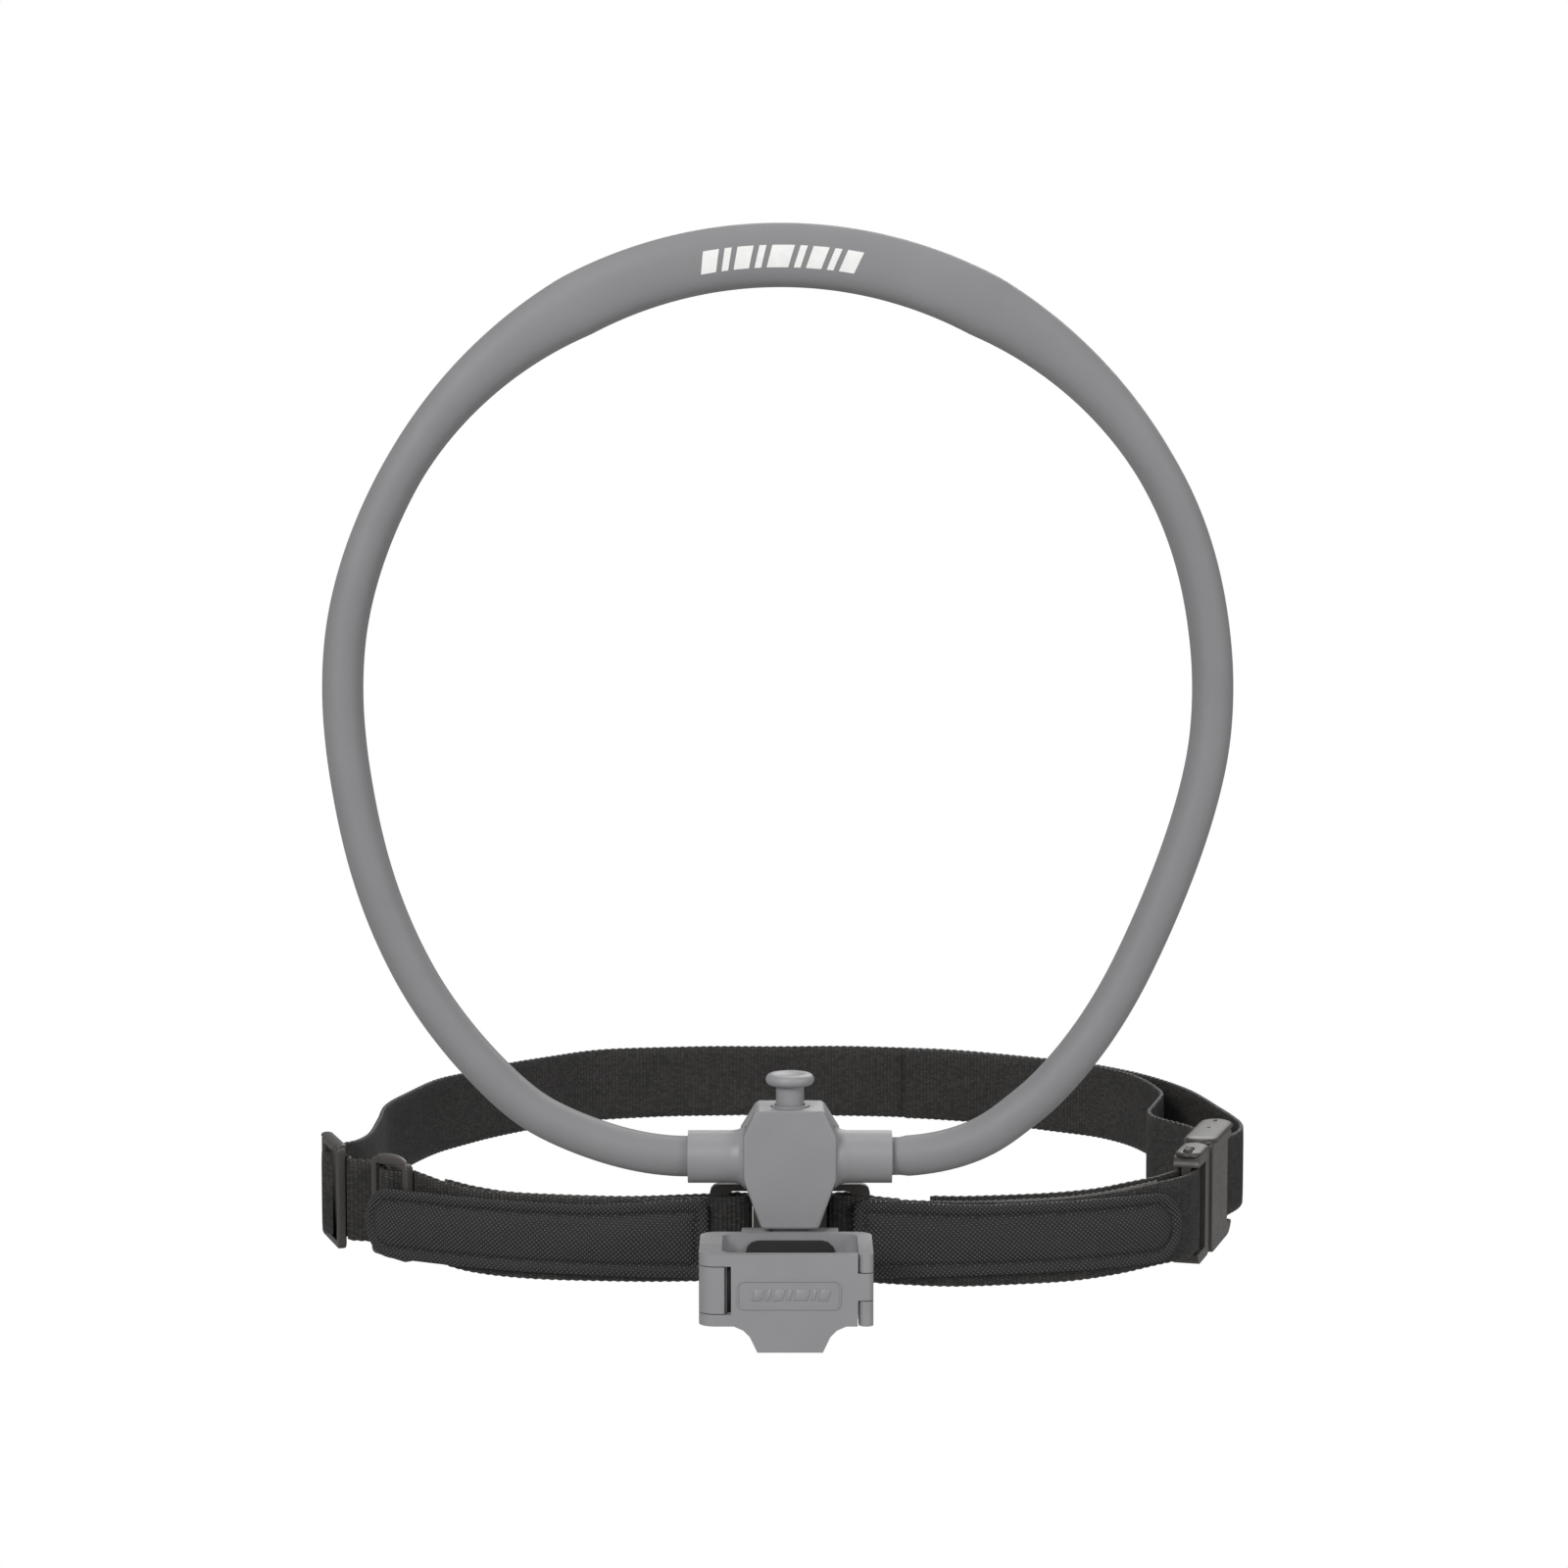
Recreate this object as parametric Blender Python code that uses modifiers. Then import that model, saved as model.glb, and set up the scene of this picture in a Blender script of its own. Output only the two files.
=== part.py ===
"""Hands-free neck camera holder: silicone neck ring, hub, tilting camera clamp and chest strap.

Run with: blender --background --python part.py
Lengths in this script are millimetres and MM turns them into metres. X points to the wearer's left,
Y from the camera clamp back round the wearer, Z up. Heights are measured from the hub axis, which is
the line through the two collars; the frame empty then lowers everything so that the inner face of
the nape pad is at the world origin.
"""
import math

import bmesh
import bpy
from mathutils import Matrix, Vector

for stale in list(bpy.data.objects):
    bpy.data.objects.remove(stale, do_unlink=True)

MM = 0.001
GAP = 0.3

# Neck ring: tangent arcs of the centre line, from a collar up to the nape
TUBE_R = 6.4
CORE_R = 2.5
BORE_R = 3.1
MOUTH_X = 32.8
TUBE_END_X = 19.0
LOW_ARCS = ((77.6, 45.0, 9), (149.0, 18.5, 4))
SIDE_TURN = 16.5
SHOULDER_ARC = (148.0, 12.5, 3)
NAPE_R = 138.4
PAD_HALF = 9.9
PAD_SHIFT = 0.7
PAD_FLAT_DEG = 28.0
PAD_END_DEG = 60.0
LEAN = 3.9
BELLY_LEAN = 2.1
TOP_LEAN = 3.0

# Hub
COLLAR_R = 8.45
HUB_TOP = 17.0
HUB_BACK = 8.0
HUB_FRONT = -11.0
PARTING_Y = -2.35
SHAFT_Y = -3.0
STEM_R = 4.5
KNOB_R = 7.8
KNOB_TOP = 27.6
WEB_LOW = 9.0
WEB_HIGH = 11.0

# Tilt axle and camera clamp
AXLE_Z = -27.3
AXLE_R = 2.0
KNUCKLE_R = 4.6
HUB_KNUCKLE_X = 5.4
CLAMP_KNUCKLE_X = (5.8, 15.5)
CLAMP_X = (-28.5, 26.0)
CLAMP_Y = (-46.0, -12.0)
CLAMP_Z = (-44.7, -22.0)
SLOT_X = 21.4
SLOT_Y = (-42.7, -15.0)
HINGE = (23.7, -43.7)
HINGE_R = 2.3
HINGE_SEAMS = (-36.5, -28.0)
DOOR_SPLIT_Y = -30.0
LATCH_Z = (-40.7, -26.0)
LATCH_PIN = (-25.4, -37.0)
TAB_LOW = -53.0

# Webbing, tapes and pads
WEB_Z = (-42.5, -14.5)
WEB_THICK = 1.4
WEB_MID = (WEB_Z[0] + WEB_Z[1]) / 2
PAD_HALF_HEIGHT = 13.0
PLATE_Y = (9.3, 12.3)
PLATE_Z = (-46.0, -11.0)
PLATE_X = 26.0
BAR_X = (12.0, 20.0)

# Buckle, in its own frame: X along the webbing, Y through its thickness
BUCKLE_AT = (132.5, 49.0)
BUCKLE_DIRECTION = (0.28, 0.96)
BUCKLE_HALF = 18.5
ARM_HINGE = (23.5, 11.5)


# ---------------------------------------------------------------- helpers

parts = bpy.data.collections.new("neck_camera_holder")
guides = bpy.data.collections.new("cutters")
for group in (parts, guides):
    bpy.context.scene.collection.children.link(group)


def material(name, colour, roughness, metallic=0.0):
    made = bpy.data.materials.new(name)
    made.use_nodes = True
    shader = made.node_tree.nodes["Principled BSDF"]
    shader.inputs["Base Color"].default_value = (*colour, 1.0)
    shader.inputs["Roughness"].default_value = roughness
    shader.inputs["Metallic"].default_value = metallic
    return made


def empty(name, x, y, z, parent=None, turn=0.0):
    """An empty that pieces hang on; turn is its angle about Z."""
    made = bpy.data.objects.new(name, None)
    made.location = (x * MM, y * MM, z * MM)
    made.rotation_euler = (0, 0, turn)
    made.parent = parent
    parts.objects.link(made)
    return made


def add(name, mesh, finish, parent):
    """Put a mesh in the model, or among the cutters when it has no finish."""
    made = bpy.data.objects.new(name, mesh)
    made.parent = parent
    if finish is None:
        guides.objects.link(made)
        made.hide_render = True
        made.display_type = "WIRE"
    else:
        parts.objects.link(made)
        mesh.materials.append(finish)
    return made


def finish_mesh(name, bm):
    mesh = bpy.data.meshes.new(name)
    bm.to_mesh(mesh)
    bm.free()
    return mesh


def box(name, x, y, z, finish=None, parent=None):
    """A box between two limits on each axis."""
    bm = bmesh.new()
    bmesh.ops.create_cube(bm, size=MM)
    size = Vector((x[1] - x[0], y[1] - y[0], z[1] - z[0]))
    middle = Vector((x[0] + x[1], y[0] + y[1], z[0] + z[1])) / 2 * MM
    bmesh.ops.scale(bm, vec=size, verts=bm.verts)
    bmesh.ops.translate(bm, vec=middle, verts=bm.verts)
    return add(name, finish_mesh(name, bm), finish, parent or frame)


def rod(name, start, end, radius, finish=None, parent=None, sides=24):
    """A cylinder between two points."""
    start = Vector(start) * MM
    end = Vector(end) * MM
    run = end - start
    turn = run.to_track_quat("Z", "Y").to_matrix().to_4x4()
    bm = bmesh.new()
    bmesh.ops.create_cone(bm, cap_ends=True, segments=sides, radius1=radius * MM, radius2=radius * MM,
                          depth=run.length, matrix=Matrix.Translation((start + end) / 2) @ turn)
    made = add(name, finish_mesh(name, bm), finish, parent or frame)
    smooth(made)
    return made


def smooth(piece, degrees=35):
    piece.data.shade_smooth()
    piece.data.set_sharp_from_angle(angle=math.radians(degrees))


def curve_to_mesh(name, curve, place, finish, parent):
    """Turn a filled or bevelled curve into one closed mesh."""
    temporary = bpy.data.objects.new(name + "_curve", curve)
    parts.objects.link(temporary)
    evaluated = temporary.evaluated_get(bpy.context.evaluated_depsgraph_get())
    mesh = bpy.data.meshes.new_from_object(evaluated)
    bpy.data.objects.remove(temporary)
    mesh.materials.clear()
    bm = bmesh.new()
    bm.from_mesh(mesh)
    bmesh.ops.remove_doubles(bm, verts=bm.verts, dist=0.002 * MM)
    bmesh.ops.transform(bm, matrix=place, verts=bm.verts)
    bmesh.ops.recalc_face_normals(bm, faces=bm.faces)
    bm.to_mesh(mesh)
    bm.free()
    return add(name, mesh, finish, parent or frame)


def slab(name, outline, axis, low, high, finish=None, parent=None):
    """A flat outline given thickness along Y or Z. Its points are (x, z) or (x, y)."""
    curve = bpy.data.curves.new(name, "CURVE")
    curve.dimensions = "2D"
    curve.fill_mode = "BOTH"
    curve.extrude = (high - low) / 2 * MM
    spline = curve.splines.new("POLY")
    spline.points.add(len(outline) - 1)
    for point, (a, b) in zip(spline.points, outline):
        point.co = (a * MM, b * MM, 0, 1)
    spline.use_cyclic_u = True
    middle = (low + high) / 2 * MM
    place = Matrix.Translation((0, 0, middle))
    if axis == "Y":
        place = Matrix.Translation((0, middle, 0)) @ Matrix.Rotation(math.radians(90), 4, "X")
    return curve_to_mesh(name, curve, place, finish, parent)


def wire(name, points, radius, finish=None, parent=None, resolution=2):
    """A round wire or tube through a list of points."""
    curve = bpy.data.curves.new(name, "CURVE")
    curve.dimensions = "3D"
    curve.bevel_depth = radius * MM
    curve.bevel_resolution = resolution
    curve.use_fill_caps = True
    spline = curve.splines.new("POLY")
    spline.points.add(len(points) - 1)
    for point, place in zip(spline.points, points):
        point.co = (*(Vector(place) * MM), 1)
    made = curve_to_mesh(name, curve, Matrix.Identity(4), finish, parent)
    smooth(made)
    return made


def lathe(name, profile, at, finish, turn=None, steps=24):
    """A turned piece: the profile's (radius, height) points run down its outer side."""
    bm = bmesh.new()
    corners = [bm.verts.new((radius * MM, 0, height * MM)) for radius, height in profile]
    for upper, lower in zip(corners, corners[1:]):
        bm.edges.new((upper, lower))
    made = add(name, finish_mesh(name, bm), finish, frame)
    made.location = Vector(at) * MM
    if turn is not None:
        made.rotation_euler = turn
    screw = made.modifiers.new("turn", "SCREW")
    screw.steps = steps
    screw.render_steps = steps
    screw.use_merge_vertices = True
    screw.merge_threshold = 0.00001
    screw.use_smooth_shade = False
    return made


def boolean(piece, kind, tools):
    for tool in tools:
        step = piece.modifiers.new(tool.name, "BOOLEAN")
        step.operation = kind
        step.solver = "EXACT"
        step.object = tool
    return piece


def cut(piece, *tools):
    return boolean(piece, "DIFFERENCE", tools)


def join(piece, *tools):
    return boolean(piece, "UNION", tools)


def hang(pivot, *pieces):
    """Parent pieces to an empty on their joint's axis and leave them where they are."""
    for piece in pieces:
        piece.parent = pivot
        piece.matrix_parent_inverse = Matrix.Translation(-pivot.location)


def arc(cx, cy, radius, start, end, steps=4):
    """Points on an arc, with its angles in degrees."""
    points = []
    for i in range(steps + 1):
        angle = math.radians(start + (end - start) * i / steps)
        points.append((cx + radius * math.cos(angle), cy + radius * math.sin(angle)))
    return points


def rounded_box(x, z, radius, steps=3):
    return (arc(x[1] - radius, z[0] + radius, radius, -90, 0, steps)
            + arc(x[1] - radius, z[1] - radius, radius, 0, 90, steps)
            + arc(x[0] + radius, z[1] - radius, radius, 90, 180, steps)
            + arc(x[0] + radius, z[0] + radius, radius, 180, 270, steps))


def smooth_route(points, per_leg=4):
    """A Catmull-Rom curve through plan points; a third number lifts the webbing there."""
    points = [Vector((*p, 0.0)[:3]) for p in points]
    padded = [2 * points[0] - points[1], *points, 2 * points[-1] - points[-2]]
    route = []
    for i in range(len(points) - 1):
        a, b, c, d = padded[i:i + 4]
        for k in range(per_leg):
            t = k / per_leg
            route.append(0.5 * (2 * b + (c - a) * t + (2 * a - 5 * b + 4 * c - d) * t * t
                                + (3 * b - a - 3 * c + d) * t ** 3))
    route.append(points[-1])
    return route


def shifted(route, distance):
    """The route moved sideways, to its right when distance is positive."""
    moved = []
    for i, point in enumerate(route):
        along = (route[min(i + 1, len(route) - 1)] - route[max(i - 1, 0)]).normalized()
        moved.append(point + Vector((along.y, -along.x, 0.0)) * distance)
    return moved


def between(route, x_low, x_high):
    return [point for point in route if x_low <= point.x <= x_high]


def ribbon(name, route, low, high, thick, finish, parent=None, ends=(0, 0)):
    """Upright webbing along a plan route; ends are the radii that round its two ends."""
    lengths = [0.0]
    for a, b in zip(route, route[1:]):
        lengths.append(lengths[-1] + (b - a).length)
    middle = (low + high) / 2
    half = (high - low) / 2
    bm = bmesh.new()
    rows = []
    for point, run in zip(route, lengths):
        height = half
        for radius, inset in ((ends[0], run), (ends[1], lengths[-1] - run)):
            if inset < radius:
                height = min(height, half - radius + math.sqrt(radius ** 2 - (radius - inset) ** 2))
        height = max(height, half * 0.25)
        rows.append([bm.verts.new(Vector((point.x, point.y, middle + point.z + side * height)) * MM)
                     for side in (-1, 1)])
    for a, b in zip(rows, rows[1:]):
        bm.faces.new((a[0], b[0], b[1], a[1]))
    made = add(name, finish_mesh(name, bm), finish, parent or frame)
    wall = made.modifiers.new("thickness", "SOLIDIFY")
    wall.thickness = thick * MM
    wall.offset = 0
    wall.use_even_offset = True
    return made


SILICONE = material("silicone_grey", (0.27, 0.27, 0.27), 0.6)
ABS = material("abs_grey", (0.25, 0.25, 0.26), 0.42)
STEEL = material("plated_steel", (0.60, 0.60, 0.58), 0.3, 1.0)
SPRING = material("spring_wire", (0.50, 0.50, 0.48), 0.35, 1.0)
RUBBER = material("black_rubber", (0.02, 0.02, 0.02), 0.8)
WEBBING = material("nylon_webbing", (0.02, 0.02, 0.02), 0.85)
HOOK = material("hook_tape", (0.05, 0.05, 0.05), 0.9)
LOOP = material("loop_tape", (0.015, 0.015, 0.015), 0.95)
LEATHERETTE = material("leatherette", (0.03, 0.03, 0.03), 0.6)
BUCKLE = material("acetal_black", (0.04, 0.04, 0.04), 0.45)


def arc_reach(arcs, heading=0.0):
    """How far outward tangent arcs carry the centre line, and the heading that they end on."""
    reach = 0.0
    for radius, turn, _ in arcs:
        reach += radius * (math.sin(math.radians(heading + turn)) - math.sin(math.radians(heading)))
        heading += turn
    return reach, heading


def ring_arcs():
    """All the arcs of one half, with the side's radius found so that they meet at the nape."""
    low, low_heading = arc_reach(LOW_ARCS)
    side_heading = low_heading + SIDE_TURN
    shoulder, _ = arc_reach((SHOULDER_ARC,), side_heading)
    unit, _ = arc_reach(((1.0, SIDE_TURN, 1),), low_heading)
    side_radius = (NAPE_R - MOUTH_X - low - shoulder) / unit
    nape_turn = 180.0 - side_heading - SHOULDER_ARC[1]
    return (*LOW_ARCS, (side_radius, SIDE_TURN, 3), SHOULDER_ARC, (NAPE_R, nape_turn, 18))


def ring_half():
    """Stations (x, z, heading) from a collar's inside to the nape, heading in degrees."""
    stations = [(TUBE_END_X, 0.0, 0.0), (MOUTH_X, 0.0, 0.0)]
    x, z, heading = stations[-1]
    for radius, turn, steps in ring_arcs():
        for i in range(1, steps + 1):
            angle = math.radians(heading + turn * i / steps)
            start = math.radians(heading)
            stations.append((x + radius * (math.sin(angle) - math.sin(start)),
                             z + radius * (math.cos(start) - math.cos(angle)),
                             heading + turn * i / steps))
        x, z, heading = stations[-1]
    return stations


RING_RISE = ring_half()[-1][1]
HUB_Z = -(RING_RISE - PAD_SHIFT - PAD_HALF)
frame = empty("harness_frame", 0, 0, HUB_Z)


# ---------------------------------------------------------------- neck ring

def ease(share):
    share = min(max(share, 0.0), 1.0)
    return share * share * (3 - 2 * share)


def lean(z):
    """The soft ring stands a little to one side, most of all where it bellies out above the hub."""
    belly = math.sin(math.pi * min(max(z / 140.0, 0.0), 1.0))
    upper = (LEAN - TOP_LEAN) * ease((z - 165.0) / 50.0)
    return upper - LEAN * ease(z / 16.0) - BELLY_LEAN * belly * belly


def ring_stations():
    right = ring_half()
    left = [(-x, z, 360.0 - heading) for x, z, heading in reversed(right[:-1])]
    return right + left


def pad_share(heading):
    """1 on the nape pad, falling to 0 where the plain tube starts."""
    off = abs(heading - 180.0)
    share = (PAD_END_DEG - off) / (PAD_END_DEG - PAD_FLAT_DEG)
    return min(max(share, 0.0), 1.0) ** 1.5


def neck_sleeve():
    sides = 14
    bm = bmesh.new()
    rings = []
    for x, z, heading in ring_stations():
        angle = math.radians(heading)
        outward = Vector((math.sin(angle), 0, -math.cos(angle)))
        share = pad_share(heading)
        centre = Vector((x + lean(z), 0, z)) - outward * PAD_SHIFT * share
        half = TUBE_R + (PAD_HALF - TUBE_R) * share
        ring = []
        for k in range(sides):
            turn = 2 * math.pi * k / sides
            place = centre + outward * half * math.cos(turn) + Vector((0, TUBE_R * math.sin(turn), 0))
            ring.append(bm.verts.new(place * MM))
        rings.append(ring)
    for a, b in zip(rings, rings[1:]):
        for k in range(sides):
            n = (k + 1) % sides
            bm.faces.new((a[k], a[n], b[n], b[k]))
    bm.faces.new(rings[0])
    bm.faces.new(rings[-1])
    bmesh.ops.recalc_face_normals(bm, faces=bm.faces)
    sleeve = add("neck_sleeve", finish_mesh("neck_sleeve", bm), SILICONE, frame)
    smooth(sleeve)
    reach = [(x + lean(z), 0, z) for x, z, heading in ring_stations()]
    reach = [(TUBE_END_X - 5, 0, 0), *reach[1:-1], (-TUBE_END_X + 5, 0, 0)]
    cut(sleeve, wire("cut_ring_bore", reach, BORE_R))


def neck_core():
    reach = [(x + lean(z), 0, z) for x, z, heading in ring_stations()]
    reach = [(8.5, 0, 0), *reach[1:-1], (-8.5, 0, 0)]
    wire("neck_core", reach, CORE_R, STEEL)
    for side, name in ((-1, "ferrule_left"), (1, "ferrule_right")):
        crimp = rod(name, (side * 7.5, 0, 0), (side * 13.0, 0, 0), 3.9, STEEL, sides=20)
        cut(crimp, rod("cut_" + name, (side * 7.0, 0, 0), (side * 13.5, 0, 0), 2.95, sides=20))


neck_sleeve()
neck_core()


# ---------------------------------------------------------------- hub

def mirrored(half):
    """A left-right outline from its right half, listed top to bottom."""
    return [(x, z) for x, z in half] + [(-x, z) for x, z in reversed(half)]


def hub_cutters():
    """Hollows shared by the two hub shells."""
    tools = [
        rod("cut_stem_bore", (0, SHAFT_Y, WEB_HIGH), (0, SHAFT_Y, HUB_TOP + 1), 6.3),
        rod("cut_rod_hole", (0, SHAFT_Y, WEB_LOW - 1), (0, SHAFT_Y, WEB_HIGH + 1), 2.9),
        rod("cut_spring_bay", (0, SHAFT_Y, -8.0), (0, SHAFT_Y, WEB_LOW), 4.5),
        rod("cut_brake_hole", (0, SHAFT_Y, AXLE_Z), (0, SHAFT_Y, -7.0), 1.9, sides=16),
    ]
    for side in (-1, 1):
        x = sorted((side * 6.4, side * 13.6))
        tools.append(box(f"cut_ferrule_bay_{side}", x, (-7.0, 5.0), (-4.6, 4.6)))
        tools.append(rod(f"cut_core_hole_{side}", (side * 13.0, 0, 0), (side * 18.5, 0, 0), 3.3))
        for row, (sx, sz) in enumerate(((8.6, 13.0), (9.5, -10.0))):
            tools.append(rod(f"cut_screw_{side}_{row}", (side * sx, -6.5, sz), (side * sx, 6.5, sz),
                             1.35, sides=16))
    return tools


def hub_shells():
    hollows = hub_cutters()
    rear = slab("hub_rear_body", mirrored([(10.7, HUB_TOP), (15.9, 8.6), (15.9, -5.5), (9.7, -21.7)]),
                "Y", PARTING_Y + GAP / 2, HUB_BACK, ABS)
    edge = rear.modifiers.new("edges", "BEVEL")
    edge.width = 0.8 * MM
    edge.segments = 1
    edge.angle_limit = math.radians(40)
    neck_x = (-HUB_KNUCKLE_X, HUB_KNUCKLE_X)
    join(rear,
         rod("add_collar_left", (-MOUTH_X, 0, 0), (-12, 0, 0), COLLAR_R, sides=32),
         rod("add_collar_right", (12, 0, 0), (MOUTH_X, 0, 0), COLLAR_R, sides=32),
         box("add_neck", neck_x, (SHAFT_Y - 4.5, SHAFT_Y + 4.5), (AXLE_Z, -19.0)),
         rod("add_neck_knuckle", (neck_x[0], SHAFT_Y, AXLE_Z), (neck_x[1], SHAFT_Y, AXLE_Z), KNUCKLE_R))
    cut(rear,
        box("cut_cover_seat", (-16.2, 16.2), (-15, PARTING_Y + GAP / 2), (-22.0, 20)),
        rod("cut_bore_left", (-35, 0, 0), (-18.2, 0, 0), TUBE_R + 0.4),
        rod("cut_bore_right", (18.2, 0, 0), (35, 0, 0), TUBE_R + 0.4),
        rod("cut_axle_hub", (-8, SHAFT_Y, AXLE_Z), (8, SHAFT_Y, AXLE_Z), AXLE_R + 0.4),
        *hollows)
    for side in (-1, 1):
        for row, (sx, sz) in enumerate(((8.6, 13.0), (9.5, -10.0))):
            cut(rear, rod(f"cut_head_{side}_{row}", (side * sx, 6.0, sz), (side * sx, 9.0, sz), 2.6,
                          sides=16))
    for row, z in enumerate((-13.3, -18.7)):
        cut(rear, rod(f"cut_plate_screw_{row}", (0, 2.2, z), (0, 9, z), 1.35, sides=16))

    cover = slab("hub_front_cover",
                 mirrored([(10.9, HUB_TOP), (15.0, 8.5), (15.0, -5.6), (9.2, -21.7)]),
                 "Y", HUB_FRONT, PARTING_Y - GAP / 2, ABS)
    edge = cover.modifiers.new("edges", "BEVEL")
    edge.width = 1.3 * MM
    edge.segments = 2
    edge.angle_limit = math.radians(60)
    cut(cover, *hollows)


def hub_screws():
    profile = [(0, 1.6), (1.7, 1.6), (2.2, 1.1), (2.2, 0), (1.05, 0), (1.05, -11.8), (0, -12.4)]
    places = [(side * x, z) for x, z in ((8.6, 13.0), (9.5, -10.0)) for side in (-1, 1)]
    for number, (x, z) in enumerate(places, 1):
        lathe(f"hub_screw_{number}", profile, (x, 6.3, z), STEEL, (math.radians(-90), 0, 0), 12)
    short = [(0, 1.4), (1.7, 1.4), (2.2, 0.9), (2.2, 0), (1.05, 0), (1.05, -8.0), (0, -8.4)]
    for number, z in enumerate((-13.3, -18.7), 1):
        lathe(f"plate_screw_{number}", short, (0, 10.8, z), STEEL, (math.radians(-90), 0, 0), 12)


hub_shells()
hub_screws()


# ---------------------------------------------------------------- pull knob and brake

def knob():
    cap = arc(KNOB_R - 1.8, KNOB_TOP - 1.8, 1.8, 90, -90, 6)
    stem_low = WEB_HIGH + GAP
    profile = [(0, KNOB_TOP), *cap, (STEM_R, KNOB_TOP - 3.6), (STEM_R, stem_low),
               (2.85, stem_low), (2.85, 18.0), (0, 18.0)]
    return lathe("knob", profile, (0, SHAFT_Y, 0), ABS, steps=32)


def plunger_rod():
    profile = [(0, 17.7), (2.5, 17.7), (2.5, -5.0), (4.0, -5.0), (4.0, -6.5), (1.5, -6.5),
               (1.5, -21.5), (0, -21.5)]
    return lathe("plunger_rod", profile, (0, SHAFT_Y, 0), STEEL, steps=20)


def plunger_spring():
    turns = 5
    per_turn = 10
    low = -4.2
    high = WEB_LOW - 0.8
    points = []
    for i in range(turns * per_turn + 1):
        angle = 2 * math.pi * i / per_turn
        height = low + (high - low) * i / (turns * per_turn)
        points.append((3.55 * math.cos(angle), SHAFT_Y + 3.55 * math.sin(angle), height))
    return wire("plunger_spring", points, 0.35, SPRING)


knob_axis = empty("knob_axis", 0, SHAFT_Y, HUB_TOP, frame)
brake_tip = rod("brake_tip", (0, SHAFT_Y, AXLE_Z + AXLE_R + GAP), (0, SHAFT_Y, -21.8), 1.5, RUBBER,
                sides=16)
hang(knob_axis, plunger_spring(), brake_tip)
knob_pieces = (knob(), plunger_rod())
for turned in knob_pieces:
    turned.location.z -= knob_axis.location.z
    turned.location.y = 0
    turned.parent = knob_axis
lathe("stem_bush", [(6.0, HUB_TOP + 0.6), (6.0, WEB_HIGH + GAP), (4.85, WEB_HIGH + GAP),
                    (4.85, HUB_TOP + 0.6), (6.0, HUB_TOP + 0.6)], (0, SHAFT_Y, 0), ABS, steps=28)


# ---------------------------------------------------------------- strap plate behind the hub

def strap_plate():
    plate = slab("strap_plate", rounded_box((-PLATE_X, PLATE_X), PLATE_Z, 3.0), "Y", *PLATE_Y, BUCKLE)
    join(plate, box("add_plate_land", (-7, 7), (HUB_BACK + GAP, PLATE_Y[0] + 0.5), (-21.5, -11.5)))
    for side in (-1, 1):
        x = sorted((side * BAR_X[0], side * BAR_X[1]))
        hole = slab(f"cut_strap_slot_{side}", rounded_box(x, (WEB_Z[0] - 1.2, WEB_Z[1] + 1.2), 1.5),
                    "Y", 5, 16)
        cut(plate, hole)
    for row, z in enumerate((-13.3, -18.7)):
        cut(plate, rod(f"cut_plate_hole_{row}", (0, 5, z), (0, 15, z), 1.35, sides=16),
            rod(f"cut_plate_head_{row}", (0, 10.5, z), (0, 15, z), 2.6, sides=16))


strap_plate()


# ---------------------------------------------------------------- camera clamp

def clamp_frame():
    left, right = CLAMP_X
    rear = CLAMP_Y[1]
    outline = (arc(*HINGE, HINGE_R, 180, 360, 8)
               + arc(right - 5, rear - 5, 5, 0, 90, 5)
               + arc(left + 5, rear - 5, 5, 90, 180, 5)
               + [(left, DOOR_SPLIT_Y), (-SLOT_X, DOOR_SPLIT_Y)]
               + arc(-SLOT_X + 4, SLOT_Y[1] - 4, 4, 180, 90, 4)
               + arc(SLOT_X - 4, SLOT_Y[1] - 4, 4, 90, 0, 4))
    body = slab("clamp_frame", outline, "Z", *CLAMP_Z, ABS)
    for side, name in ((-1, "left"), (1, "right")):
        x = sorted(side * value for value in CLAMP_KNUCKLE_X)
        join(body,
             box(f"add_arm_{name}", x, (rear - 0.5, SHAFT_Y), (AXLE_Z - 3.4, AXLE_Z + 3.8)),
             rod(f"add_knuckle_{name}", (x[0], SHAFT_Y, AXLE_Z), (x[1], SHAFT_Y, AXLE_Z), KNUCKLE_R))
    gap_z = (HINGE_SEAMS[0] - GAP, HINGE_SEAMS[1] + GAP)
    nose_y = -27.4
    groove = [(-26.0, -31), (-26.0, -29.2), (-25.45, nose_y), (-26.0, -25.6), (-26.0, -25.2),
              (-30, -25.2), (-30, -31)]
    cut(body,
        rod("cut_axle_clamp", (-20, SHAFT_Y, AXLE_Z), (20, SHAFT_Y, AXLE_Z), AXLE_R + GAP),
        box("cut_door_knuckle", (20.7, 28), (-48, -40.6), gap_z),
        rod("cut_hinge_hole", (*HINGE, CLAMP_Z[0] - 1), (*HINGE, CLAMP_Z[1] - 0.6), 1.3, sides=16),
        slab("cut_latch_groove", groove, "Z", LATCH_Z[0] - GAP, LATCH_Z[1] + GAP))
    return body


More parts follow.
